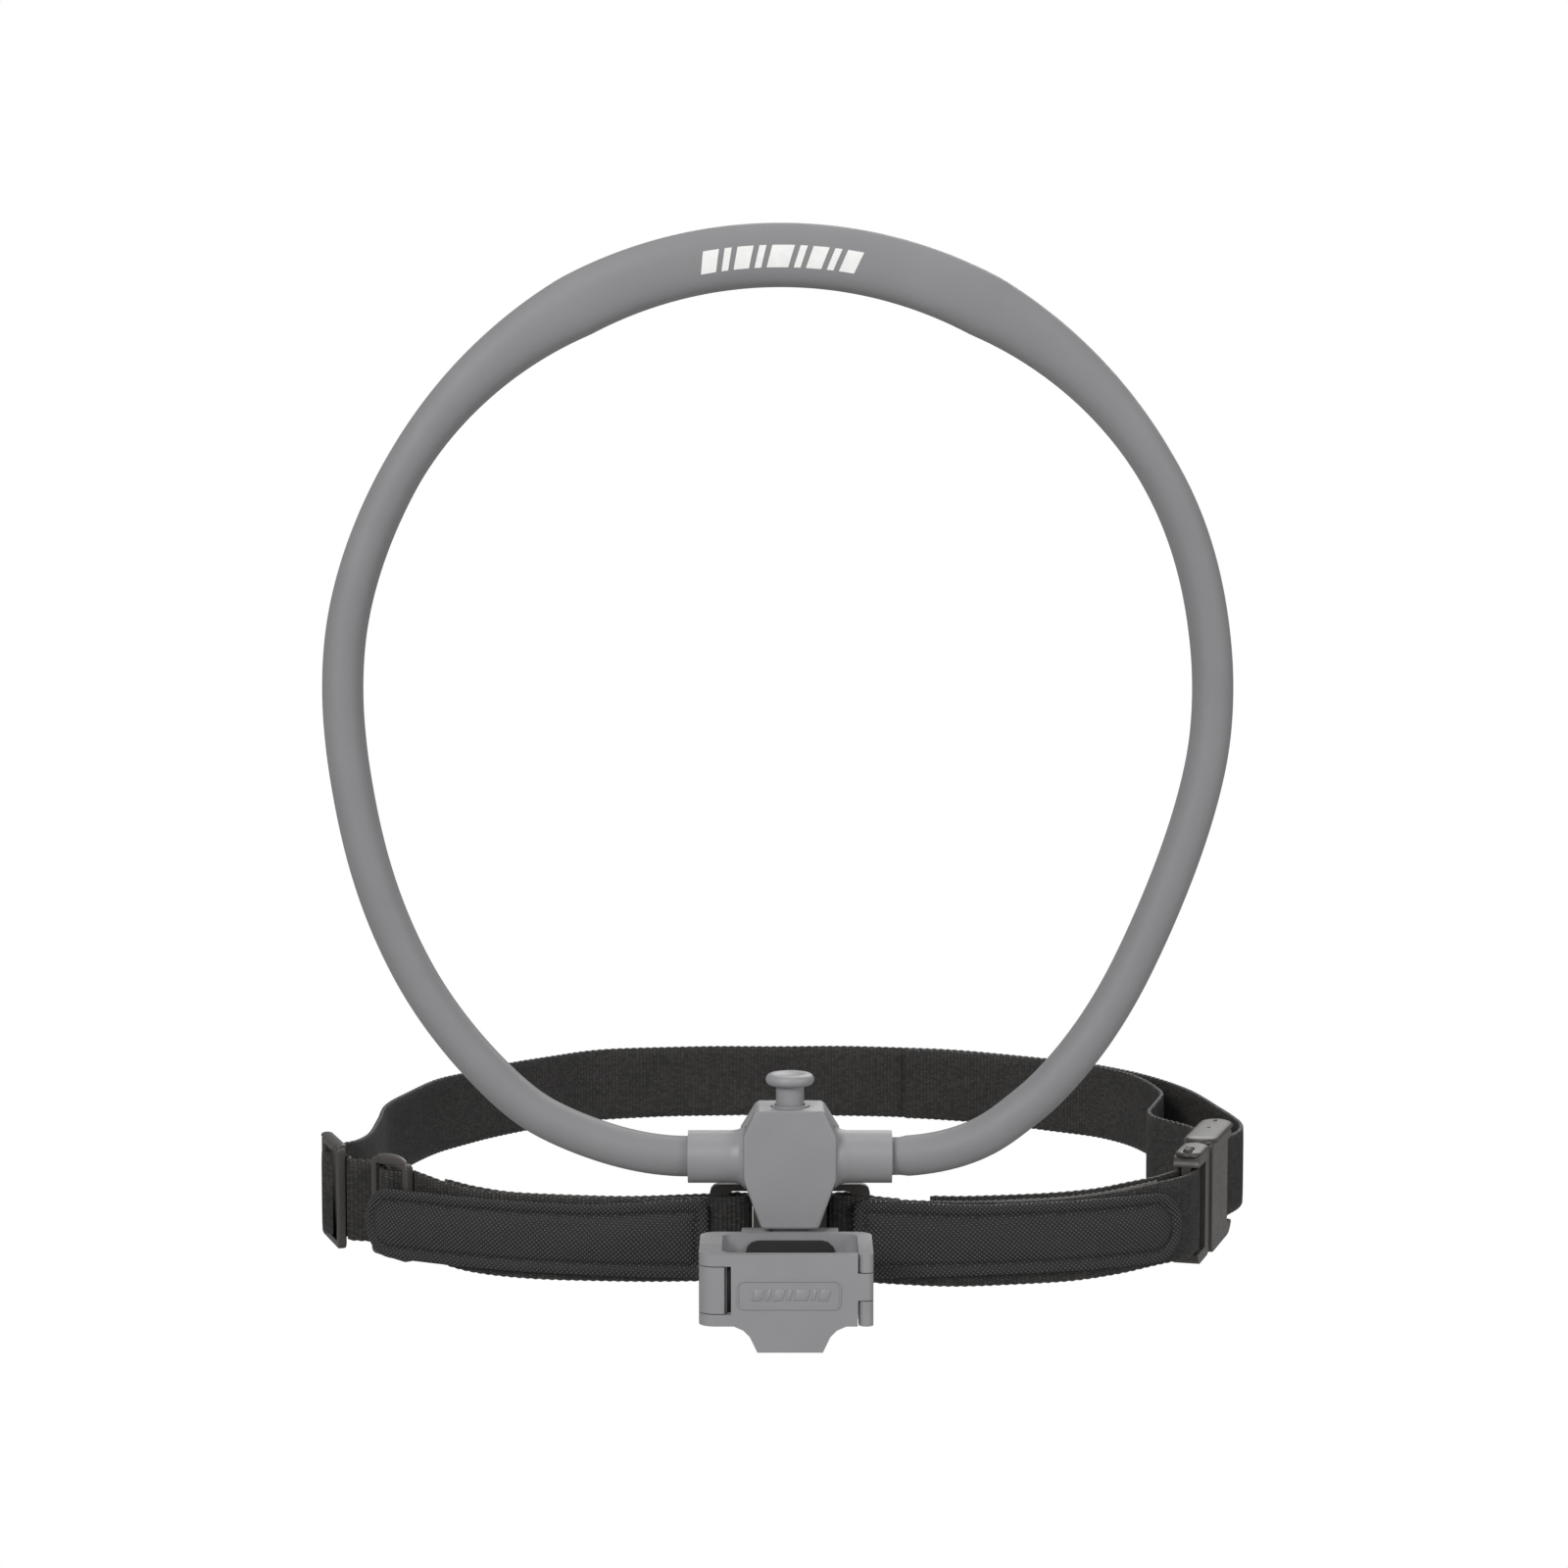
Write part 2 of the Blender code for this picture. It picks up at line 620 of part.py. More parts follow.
def clamp_door():
    left = CLAMP_X[0]
    front = CLAMP_Y[0]
    outline = ([(HINGE[0] - HINGE_R - GAP, front), (HINGE[0] - HINGE_R - GAP, SLOT_Y[0])]
               + arc(-SLOT_X + 4, SLOT_Y[0] + 4, 4, 270, 180, 4)
               + [(-SLOT_X, DOOR_SPLIT_Y - GAP), (left, DOOR_SPLIT_Y - GAP)]
               + arc(left + 5, front + 5, 5, 180, 270, 5))
    door = slab("clamp_door", outline, "Z", *CLAMP_Z, ABS)
    pocket_z = (LATCH_Z[0] - GAP, LATCH_Z[1] + GAP)
    join(door,
         slab("add_tab", mirrored([(17.5, CLAMP_Z[0] + 1), (17.5, CLAMP_Z[0]), (14.6, -46.0),
                                   (12.6, -48.0), (11.4, -50.5), (10.2, TAB_LOW)]),
              "Y", front, SLOT_Y[0]),
         box("add_door_web", (20.9, HINGE[0]), (front, SLOT_Y[0] - 0.3), HINGE_SEAMS),
         rod("add_door_knuckle", (*HINGE, HINGE_SEAMS[0]), (*HINGE, HINGE_SEAMS[1]), HINGE_R))
    cut(door,
        rod("cut_pin_door", (*HINGE, -50), (*HINGE, -20), 1.3, sides=16),
        box("cut_latch_side", (-30, -22.6), (-48, -29), pocket_z),
        box("cut_latch_front", (-30, -18.4), (-48, -43.7), pocket_z),
        rod("cut_latch_pin", (*LATCH_PIN, -50), (*LATCH_PIN, CLAMP_Z[1] - 0.8), 1.1, sides=12))
    return door


def latch_lever():
    left = CLAMP_X[0]
    front = CLAMP_Y[0]
    outline = ([(-20.5, front), (-20.5, front + 1.6)]
               + arc(-25.3, front + 2.6, 1.0, 270, 180, 2)
               + [(-26.3, -28.9), (-25.9, -27.4), (-26.3, -25.9), (-26.3, -25.5), (left, -25.5)]
               + arc(left + 4.8, front + 4.8, 4.8, 180, 270, 5))
    lever = slab("latch_lever", outline, "Z", *LATCH_Z, ABS)
    join(lever, rod("add_latch_boss", (*LATCH_PIN, LATCH_Z[0]), (*LATCH_PIN, LATCH_Z[1]), 2.1))
    cut(lever, rod("cut_latch_hole", (*LATCH_PIN, -50), (*LATCH_PIN, -20), 1.15, sides=12))
    return lever


def latch_spring():
    points = []
    for i in range(31):
        angle = 2 * math.pi * i / 8
        points.append((-25.2 + 2.1 * i / 30, -41.0 + 0.9 * math.cos(angle), -33.3 + 0.9 * math.sin(angle)))
    return wire("latch_spring", points, 0.2, SPRING)


tilt_axis = empty("tilt_axis", 0, SHAFT_Y, AXLE_Z, frame)
door_axis = empty("door_axis", *HINGE, 0, frame)
latch_axis = empty("latch_axis", *LATCH_PIN, 0, frame)
grip_z = (CLAMP_Z[0] + 3.0, CLAMP_Z[1] - 2.0)
rear_grip = slab("rear_grip_pad", rounded_box((-14.15, 14.15), grip_z, 4.0), "Y",
                 SLOT_Y[1] - GAP - 1.2, SLOT_Y[1] - GAP, RUBBER)
front_grip = slab("front_grip_pad", rounded_box((-14.15, 14.15), grip_z, 4.0), "Y",
                  SLOT_Y[0] + GAP, SLOT_Y[0] + GAP + 1.2, RUBBER)
tilt_axle = rod("tilt_axle", (-15.3, SHAFT_Y, AXLE_Z), (15.3, SHAFT_Y, AXLE_Z), AXLE_R, STEEL)
door_pin = rod("door_pin", (*HINGE, CLAMP_Z[0] + 0.3), (*HINGE, CLAMP_Z[1] - 0.9), 1.0, STEEL, sides=16)
latch_pin = rod("latch_pin", (*LATCH_PIN, CLAMP_Z[0] + 0.3), (*LATCH_PIN, CLAMP_Z[1] - 1.1), 0.8, STEEL,
                sides=12)
hang(tilt_axis, clamp_frame(), rear_grip, tilt_axle, door_pin)
hang(door_axis, clamp_door(), front_grip, latch_pin, latch_spring())
hang(latch_axis, latch_lever())


# ---------------------------------------------------------------- sliders

def slider(name, x, y, turn, length, half_height):
    """A three-bar slider: two rails and three upright bars, the webbing woven round the middle."""
    home = empty(name + "_frame", x, y, WEB_MID + SLIDER_LIFT, frame, turn)
    half = length / 2
    plate = slab(name, rounded_box((-half, half), (-half_height, half_height), 2.0), "Y", -1.5, 1.5,
                 BUCKLE, home)
    for side in (-1, 1):
        slot = sorted((side * 1.5, side * (half - 3.0)))
        cut(plate, box(f"cut_{name}_{side}", slot, (-5, 5), (-14.5, 14.5), parent=home))


def woven(home_xy, turn, length, leave=False):
    """Plan points of webbing through a slider, with its bulge outward round the middle bar."""
    along = Vector((math.cos(turn), math.sin(turn)))
    across = Vector((-along.y, along.x))
    half = length / 2
    slot = (half - 1.5) / 2
    runs = [(-half - 2, -2.7), (-half + 2.7, -3.0), (-slot, 0.0), (-1.6, 3.0), (1.6, 3.0), (slot, 0.0)]
    runs += [(half - 4.0, -3.4), (half - 1.6, -6.4)] if leave else [(half - 2.7, -3.0), (half + 2, -2.7)]
    points = []
    for run, off in runs:
        place = Vector(home_xy) + along * run + across * off
        points.append((place.x, place.y, SLIDER_LIFT))
    return points


SLIDER_LIFT = 2.0
LEFT_SLIDER = (-155.5, 74.0)
LEFT_TURN = math.atan2(28.0, -9.0)
LEFT_LENGTH = 28.0
FRONT_SLIDER = (-132.7, 44.5)
FRONT_TURN = math.atan2(17.0, -13.5)
FRONT_LENGTH = 22.0
slider("triglide_left", *LEFT_SLIDER, LEFT_TURN, LEFT_LENGTH, 17.5)
slider("triglide_front_left", *FRONT_SLIDER, FRONT_TURN, FRONT_LENGTH, 16.5)


# ---------------------------------------------------------------- front webbing, tapes and pads

# Outer layer of the front webbing from the strap plate to the side, on the left and the right
FOLD = [(-20.0, 14.2), (-15.6, 13.6), (-13.3, 11.0), (-15.6, 8.4), (-20.0, 7.9)]
LEFT_OUTER = [(-30, 9.0, -0.5), (-56, 12.0, -1.3), (-87, 18.8, -1.6), (-107, 26.5, -1)]
LEFT_INNER = [(-114, 35.5, 0), (-103, 30.5, -1.5), (-87, 25.2, -2.5), (-56, 19.5, -2.5), (-30, 15.2, -1)]
RIGHT_OUTER = [(30, 9.0, -1.2), (56, 12.0, -2.8), (87, 18.0, -3), (107, 25.0, -2), (122, 33.0, -0.5),
               (131.5, 40.5)]
RIGHT_INNER = [(122, 42.5, -1), (113, 37.0, -2.2), (100, 31.0, -3.5), (80, 25.0, -4), (60, 20.8, -4),
               (46, 18.5, -3)]
LEFT_PAD = [(-20, 6.0), (-56, 9.7), (-87, 16.5), (-106, 23.2), (-121.5, 30.5), (-134.0, 37.6), (-145, 48)]


def front_strap_left():
    front = woven(FRONT_SLIDER, FRONT_TURN, FRONT_LENGTH)
    side = woven(LEFT_SLIDER, LEFT_TURN, LEFT_LENGTH, leave=True)[:-1]
    route = smooth_route([*LEFT_INNER, *FOLD, *LEFT_OUTER, *front, *side])
    ribbon("front_strap_left", route, *WEB_Z, WEB_THICK, WEBBING)


def front_strap_right():
    fold = [(-x, y) for x, y in FOLD]
    along = Vector(BUCKLE_DIRECTION).normalized()
    across = Vector((-along.y, along.x))
    bar = Vector(BUCKLE_AT) + along * 3.2
    wrap = [bar + across * -2.9 - along * 1.5, bar + across * -2.9 + along * 2.2, bar + along * 5.6,
            bar + across * 2.9 + along * 2.2, bar + across * 2.9 - along * 1.5]
    route = smooth_route([(36, 16.4), *fold, *RIGHT_OUTER, *wrap, *RIGHT_INNER])
    ribbon("front_strap_right", route, *WEB_Z, WEB_THICK, WEBBING)


def tapes_and_pads():
    height = (WEB_MID - 12.0, WEB_MID + 12.0)
    pad_z = (WEB_MID - PAD_HALF_HEIGHT, WEB_MID + PAD_HALF_HEIGHT)
    left = smooth_route([(-20.0, 7.9), *LEFT_OUTER, *woven(FRONT_SLIDER, FRONT_TURN, FRONT_LENGTH)], 8)
    right = smooth_route([(20.0, 7.9), *RIGHT_OUTER], 8)
    left_in = smooth_route([(-20, 14.2), *reversed(LEFT_INNER)], 8)
    right_in = smooth_route(list(reversed(RIGHT_INNER)), 8)
    left_pad = between(smooth_route(LEFT_PAD, 8), -141.5, -26)
    right_pad = [Vector((p.x, p.y, 0)) for p in between(shifted(right, 2.3), 20, 128)]
    ribbon("pad_left", left_pad, *pad_z, 2.4, LEATHERETTE, ends=(4, 12))
    ribbon("pad_right", right_pad, *pad_z, 2.4, LEATHERETTE, ends=(4, 12))
    ribbon("hook_tape_left", between(shifted(left, 1.6), -114, -34), *height, 1.0, HOOK)
    ribbon("hook_tape_right", between(shifted(right, -1.6), 46, 122), *height, 1.0, HOOK)
    ribbon("loop_tape_left", between(shifted(left_in, -1.7), -104, -34), *height, 1.2, LOOP)
    ribbon("loop_tape_right", between(shifted(right_in, 1.7), 49, 114), *height, 1.2, LOOP)


front_strap_left()
front_strap_right()
tapes_and_pads()


# ---------------------------------------------------------------- back webbing

BACK = [(-149.3, 96, 1.5), (-147.4, 118), (-147.2, 145), (-147.3, 171), (-142, 195), (-134, 221),
        (-124, 238), (-110, 258), (-93, 276), (-78, 288), (-60, 294), (-35, 298), (0, 299), (30, 297.5),
        (59.5, 291.3), (82, 282), (102, 269), (118, 257), (127, 246), (134, 235.5), (143, 219),
        (149, 203), (152.8, 187)]
TAIL = [(46, 292.6), (59, 289.2), (81, 280.2), (100.7, 267.3), (116.6, 255.4), (125.3, 244.8),
        (131.2, 233.9), (135.2, 221), (137.5, 209), (138.5, 196)]
END_OUTER = [(153.2, 185.3), (156.3, 168), (159.2, 150), (160.8, 134), (158.6, 121)]
END_INNER = [(145.6, 118), (141.6, 130.5), (134.5, 141.5), (130.8, 150), (130.6, 160), (134, 174),
             (138.4, 194)]


def back_straps():
    start = woven(LEFT_SLIDER, LEFT_TURN, LEFT_LENGTH, leave=True)[-1]
    ribbon("back_strap", smooth_route([start, *BACK]), *WEB_Z, WEB_THICK, WEBBING)
    ribbon("back_strap_tail", smooth_route(TAIL), *WEB_Z, WEB_THICK, WEBBING)
    along = Vector(BUCKLE_DIRECTION).normalized()
    across = Vector((-along.y, along.x))
    bar = Vector(BUCKLE_AT) + along * 61.0
    wrap = [bar + across * -2.9 + along * 1.0, bar + across * -2.9 - along * 2.0, bar - along * 5.4,
            bar + across * 2.9 - along * 2.0, bar + across * 2.9 + along * 1.0]
    return ribbon("back_strap_end", smooth_route([*END_OUTER, *wrap, *END_INNER]), *WEB_Z, WEB_THICK,
                  WEBBING)


# ---------------------------------------------------------------- side-release buckle

buckle = empty("buckle_frame", *BUCKLE_AT, WEB_MID, frame,
               math.atan2(BUCKLE_DIRECTION[1], BUCKLE_DIRECTION[0]))


def buckle_plug():
    outline = rounded_box((0.8, 22.0), (-BUCKLE_HALF, BUCKLE_HALF), 3.5)
    plug = slab("buckle_plug", outline, "Y", -4.4, 4.4, BUCKLE, buckle)
    join(plug, box("add_tongue", (20, 47), (-2.6, 2.6), (-4, 4), parent=buckle))
    cut(plug,
        box("cut_plug_window", (5.4, 14.0), (-6, 6), (-14.8, 14.8), parent=buckle),
        box("cut_plug_bar_in", (-1, 6), (1.6, 6), (-14.8, 14.8), parent=buckle),
        box("cut_plug_bar_out", (-1, 6), (-6, -1.6), (-14.8, 14.8), parent=buckle),
        *(box(f"cut_arm_seat_{side}", (19.5, 23), (-3.2, 3.2), sorted((side * 8.6, side * 14.4)),
              parent=buckle) for side in (-1, 1)))
    return plug


def buckle_arm(name, side):
    """A flexing side arm with a hooked head that shows in the socket's window."""
    half = [(20.0, 9.2), (38.0, 9.2), (46.0, 10.5), (47.5, 12.5), (45.5, 15.6), (42.0, 17.6),
            (38.0, 17.6), (37.4, 13.6), (20.0, 13.6)]
    outline = [(x, side * z) for x, z in half]
    arm = slab(name, outline, "Y", -2.6, 2.6, BUCKLE, buckle)
    pivot = empty(name + "_axis", ARM_HINGE[0], 0, side * ARM_HINGE[1], buckle)
    hang(pivot, arm)


def buckle_socket():
    low, high, half, near, far = 22.5, 64.0, BUCKLE_HALF + 0.6, 4.0, 10.0
    outline = (arc(high - far, far - half, far, -90, 0, 6) + arc(high - far, half - far, far, 0, 90, 6)
               + arc(low + near, half - near, near, 90, 180) + arc(low + near, near - half, near, 180, 270))
    socket = slab("buckle_socket", outline, "Y", -5.2, 5.2, BUCKLE, buckle)
    cut(socket,
        box("cut_socket_mouth", (20, 50), (-3.3, 3.3), (-15.7, 15.7), parent=buckle),
        box("cut_socket_window", (36.9, 48.5), (-3.3, 3.3), (-25, 25), parent=buckle),
        box("cut_socket_far", (53.0, 58.6), (-7, 7), (-14.8, 14.8), parent=buckle),
        box("cut_far_bar_in", (58, 66), (1.7, 7), (-14.8, 14.8), parent=buckle),
        box("cut_far_bar_out", (58, 66), (-7, -1.7), (-14.8, 14.8), parent=buckle))
    return socket


back_straps()
buckle_plug()
buckle_arm("buckle_arm_upper", 1)
buckle_arm("buckle_arm_lower", -1)
buckle_socket()
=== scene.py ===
# %% [markdown]
# # A hands-free neck camera holder
# The holder is a soft grey neck ring, a grey plastic hub with a pull knob, a small hinged camera clamp and
# a black webbing chest strap. The fixed model already has every part in its place. These cells only give
# the parts their fine surfaces: rounded edges, ribs, stitches, pile and materials.
# The fixed model is loaded first, and its box is kept; it sets the height of the floor.

# %% Load the fixed model
import math
import random

import bmesh
import bpy
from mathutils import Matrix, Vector


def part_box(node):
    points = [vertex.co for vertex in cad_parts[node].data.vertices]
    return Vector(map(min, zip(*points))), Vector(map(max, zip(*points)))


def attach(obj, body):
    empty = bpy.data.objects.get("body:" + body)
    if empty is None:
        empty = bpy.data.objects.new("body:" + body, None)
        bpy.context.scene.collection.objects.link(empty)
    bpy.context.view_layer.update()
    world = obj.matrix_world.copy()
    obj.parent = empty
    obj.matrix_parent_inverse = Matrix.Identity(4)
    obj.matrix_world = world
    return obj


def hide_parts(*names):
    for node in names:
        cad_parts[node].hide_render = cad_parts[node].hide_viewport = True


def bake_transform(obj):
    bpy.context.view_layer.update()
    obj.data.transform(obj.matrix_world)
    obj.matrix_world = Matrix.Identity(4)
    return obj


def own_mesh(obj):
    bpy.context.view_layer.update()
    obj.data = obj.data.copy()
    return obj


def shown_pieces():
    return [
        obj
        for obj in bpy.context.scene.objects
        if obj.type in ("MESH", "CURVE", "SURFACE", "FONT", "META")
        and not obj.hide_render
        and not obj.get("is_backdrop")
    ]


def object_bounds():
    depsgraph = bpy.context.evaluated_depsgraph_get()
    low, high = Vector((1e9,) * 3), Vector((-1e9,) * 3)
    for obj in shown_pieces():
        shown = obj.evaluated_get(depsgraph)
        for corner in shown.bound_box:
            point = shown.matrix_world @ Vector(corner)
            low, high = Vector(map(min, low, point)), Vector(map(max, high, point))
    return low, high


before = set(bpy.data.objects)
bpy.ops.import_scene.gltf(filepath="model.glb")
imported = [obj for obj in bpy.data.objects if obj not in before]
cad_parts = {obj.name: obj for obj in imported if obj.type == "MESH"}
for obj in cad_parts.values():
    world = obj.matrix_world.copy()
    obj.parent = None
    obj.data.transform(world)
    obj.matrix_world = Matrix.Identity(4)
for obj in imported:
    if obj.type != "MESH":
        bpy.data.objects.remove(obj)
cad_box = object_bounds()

# %% [markdown]
# ## Where things are
# A maker measures this holder from the hub's axis, the line through its two collars. The tilt axle lies
# 27.3 mm below that line, so the axle's own box gives the height of the axis. All the plans below are in
# millimetres from it, and `place` turns such a point into metres in the shared frame.

# %% The hub axis and the units
MM = 0.001
AXLE_Z = -27.3
axle_low, axle_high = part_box("tilt_axle")
HUB_Z = (axle_low.z + axle_high.z) / 2 - AXLE_Z * MM


def place(x, y, z=0.0):
    return Vector((x * MM, y * MM, z * MM + HUB_Z))


print("hub axis at", round(HUB_Z, 5))

# %% [markdown]
# ## Camera
# The camera stands a little over a metre in front and looks slightly down. It comes first, because every
# later piece is judged from here. A 90 mm lens keeps the ring's outline almost free of perspective.

# %% Camera
camera = bpy.data.objects.new("camera", bpy.data.cameras.new("camera"))
bpy.context.scene.collection.objects.link(camera)
camera.data.lens = 90
camera.data.sensor_width = 36
camera.location = place(-1.9, -1243.7, 246.25)
camera.rotation_euler = (math.pi / 2 - 0.100735, 0, 0)
camera.data.clip_end = 60
bpy.context.scene.camera = camera
print("camera at", [round(v, 3) for v in camera.location])

# %% [markdown]
# ## Light
# Small goods are lit with large soft sources, so that matt plastic shows a slow gradient and no hard
# shadow. The world gives the even light of a white tent, and stays white behind the object. One wide
# lamp from the upper left shapes the forms, one from the right keeps the black webbing readable, and
# two smaller ones from above and behind draw the edges. The world and the floor come last.

# %% Light
scene = bpy.context.scene
scene.view_settings.view_transform = "Standard"


def area_light(name, location, size, power):
    lamp = bpy.data.lights.new(name, "AREA")
    lamp.size = size
    lamp.energy = power
    made = bpy.data.objects.new(name, lamp)
    made.location = location
    aim = Vector((0, 0.05, HUB_Z * 0.6)) - Vector(location)
    made.rotation_euler = aim.to_track_quat("-Z", "Y").to_euler()
    scene.collection.objects.link(made)


area_light("key_light", (-0.9, -1.6, 0.8), 0.8, 26)
area_light("fill_light", (1.4, -1.2, 0.3), 0.8, 10)
area_light("top_light", (0.1, 0.2, 1.5), 1.0, 7)
area_light("back_light", (0.4, 1.5, 0.7), 1.0, 10)

# %% [markdown]
# ## Colours and nodes
# Colours are chosen as the hex values that a painter would mix on a screen, and one function turns them
# into the linear numbers that the shaders work in. `add_node` adds one node with its settings and its
# links, so each material below reads as a short list.

# %% Two helpers for materials
def from_hex(text):
    """Linear RGBA from an sRGB hex colour."""
    parts = [int(text[i:i + 2], 16) / 255 for i in (1, 3, 5)]
    return (*[p / 12.92 if p <= 0.04045 else ((p + 0.055) / 1.055) ** 2.4 for p in parts], 1.0)


def add_node(tree, kind, settings, links=()):
    """Add a node, set its properties or sockets by name or number, and link sockets into it."""
    node = tree.nodes.new(kind)
    for key, value in settings.items():
        if isinstance(key, int) or key in node.inputs:
            node.inputs[key].default_value = value
        else:
            setattr(node, key, value)
    for key, source in dict(links).items():
        tree.links.new(source, node.inputs[key])
    return node


def new_material(name, **shader):
    """A Principled material; returns its tree and shader node. Shader settings are constants."""
    made = bpy.data.materials.new(name)
    made.use_nodes = True
    node = made.node_tree.nodes["Principled BSDF"]
    for key, value in shader.items():
        node.inputs[key.replace("_", " ")].default_value = value
    return made, made.node_tree, node


def two_tone(tree, factor, dark, light):
    """A colour that runs between two hex colours as the factor goes from 0 to 1."""
    ramp = add_node(tree, "ShaderNodeValToRGB", {}, {"Fac": factor})
    ramp.color_ramp.elements[0].color = from_hex(dark)
    ramp.color_ramp.elements[1].color = from_hex(light)
    return ramp.outputs["Color"]


def relief(tree, shader, height, depth_mm, under=None):
    """Bump of a real depth in millimetres, on top of another bump if one is given."""
    links = {"Height": height}
    if under is not None:
        links["Normal"] = under
    bump = add_node(tree, "ShaderNodeBump", {"Strength": 1.0, "Distance": depth_mm * MM}, links)
    tree.links.new(bump.outputs["Normal"], shader.inputs["Normal"])
    return bump.outputs["Normal"]


def spread(tree, value, low, high):
    """A 0 to 1 value mapped onto a range."""
    node = add_node(tree, "ShaderNodeMapRange", {"To Min": low, "To Max": high}, {"Value": value})
    return node.outputs["Result"]


def grain(tree, size_mm, detail=2.0, coords="Object"):
    """Noise whose grains are about size_mm across."""
    where = add_node(tree, "ShaderNodeTexCoord", {})
    noise = add_node(tree, "ShaderNodeTexNoise", {"Scale": 1 / (size_mm * MM), "Detail": detail},
                     {"Vector": where.outputs[coords]})
    return noise.outputs["Fac"]


print("linear of mid grey", [round(v, 3) for v in from_hex("#808080")])

# %% [markdown]
# ## Moulded silicone and ABS
# The neck ring is silicone rubber over a bendable core. Moulded silicone is matt and a little cloudy, it
# scatters light softly and picks up specks of dust. The hub and clamp are injection-moulded ABS, with the
# fine spark-eroded texture of the tool: a satin gloss, and a grain of about 0.3 mm.

# %% Silicone and ABS
silicone, tree, shader = new_material("moulded_silicone", Roughness=0.6, IOR=1.41, Sheen_Weight=0.12)
cloud = grain(tree, 28)
tree.links.new(two_tone(tree, cloud, "#807F81", "#8B8A8C"), shader.inputs["Base Color"])
tree.links.new(spread(tree, grain(tree, 6), 0.5, 0.68), shader.inputs["Roughness"])
skin = relief(tree, shader, grain(tree, 0.5, 3), 0.03)
relief(tree, shader, grain(tree, 9, 1), 0.12, skin)

abs_grey, tree, shader = new_material("moulded_abs_grey", Roughness=0.42, IOR=1.54)
tree.links.new(two_tone(tree, grain(tree, 14), "#8A8A8C", "#949496"), shader.inputs["Base Color"])
tree.links.new(spread(tree, grain(tree, 2.5), 0.36, 0.5), shader.inputs["Roughness"])
relief(tree, shader, grain(tree, 0.3, 2), 0.025)
print("materials", silicone.name, abs_grey.name)

# %% [markdown]
# ## Acetal, rubber and print
# Buckles and sliders are acetal: tough, slightly waxy and nearly black, with a warm tone where light
# rakes over it. The grip pads are soft black rubber. The mark on the nape pad is a plain printed pattern
# of slanted bars in white silicone ink, which stands a hair above the surface.

# %% Acetal, rubber and ink
acetal, tree, shader = new_material("moulded_acetal_black", Roughness=0.4, IOR=1.48)
tree.links.new(two_tone(tree, grain(tree, 10), "#3A3634", "#4B4744"), shader.inputs["Base Color"])
tree.links.new(spread(tree, grain(tree, 1.8), 0.3, 0.48), shader.inputs["Roughness"])
relief(tree, shader, grain(tree, 0.35, 2), 0.02)

rubber, tree, shader = new_material("soft_black_rubber", Roughness=0.78, IOR=1.52)
tree.links.new(two_tone(tree, grain(tree, 5), "#1B1B1A", "#262524"), shader.inputs["Base Color"])
relief(tree, shader, grain(tree, 0.6, 3), 0.06)

white_ink, tree, shader = new_material("white_silicone_ink", Roughness=0.55)
tree.links.new(two_tone(tree, grain(tree, 3), "#E6E6E4", "#F6F6F4"), shader.inputs["Base Color"])
relief(tree, shader, grain(tree, 0.4, 2), 0.02)
print("materials", acetal.name, rubber.name, white_ink.name)

# %% [markdown]
# ## Metals
# Screws, pins and the tilt axle are zinc-plated steel, the ferrules are crimped aluminium, and the springs
# are drawn wire. Plating and drawing leave fine streaks along the piece, so the noise is stretched.

# %% Metals
def metal(name, dark, light, rough, streak):
    made, tree, shader = new_material(name, Metallic=1.0, Roughness=rough)
    where = add_node(tree, "ShaderNodeTexCoord", {})
    stretched = add_node(tree, "ShaderNodeMapping", {"Scale": streak}, {"Vector": where.outputs["Object"]})
    noise = add_node(tree, "ShaderNodeTexNoise", {"Scale": 900.0, "Detail": 3.0},
                     {"Vector": stretched.outputs["Vector"]})
    tree.links.new(two_tone(tree, noise.outputs["Fac"], dark, light), shader.inputs["Base Color"])
    tree.links.new(spread(tree, noise.outputs["Fac"], rough - 0.07, rough + 0.08),
                   shader.inputs["Roughness"])
    relief(tree, shader, noise.outputs["Fac"], 0.01)
    return made


steel = metal("zinc_plated_steel", "#A9A7A2", "#C6C4BF", 0.3, (0.3, 1, 1))
aluminium = metal("crimped_aluminium", "#B4B5B6", "#CFD0D1", 0.34, (0.3, 1, 1))
spring_wire = metal("drawn_spring_wire", "#8C8A86", "#A9A7A2", 0.28, (1, 1, 0.4))

# %% [markdown]
# ## Nylon webbing
# The webbing is woven nylon. Its weft makes ribs right across the strap, 1.4 mm apart, and the warp yarns
# pass over them 0.9 mm apart and step by half a yarn from one rib to the next. The ribs are real geometry,
# and the yarns are bricks laid with half an offset, in the strap's own UV map, which is in metres.
# Nylon yarn is shiny along the fibre. Here that shine and the shade between the yarns are painted into the
# colour:
# the gaps are near black as painted shade, fading up onto each yarn, and the lighter yarn tone is painted
# sheen.

# %% Webbing
RIB = 1.4
YARN = 0.9


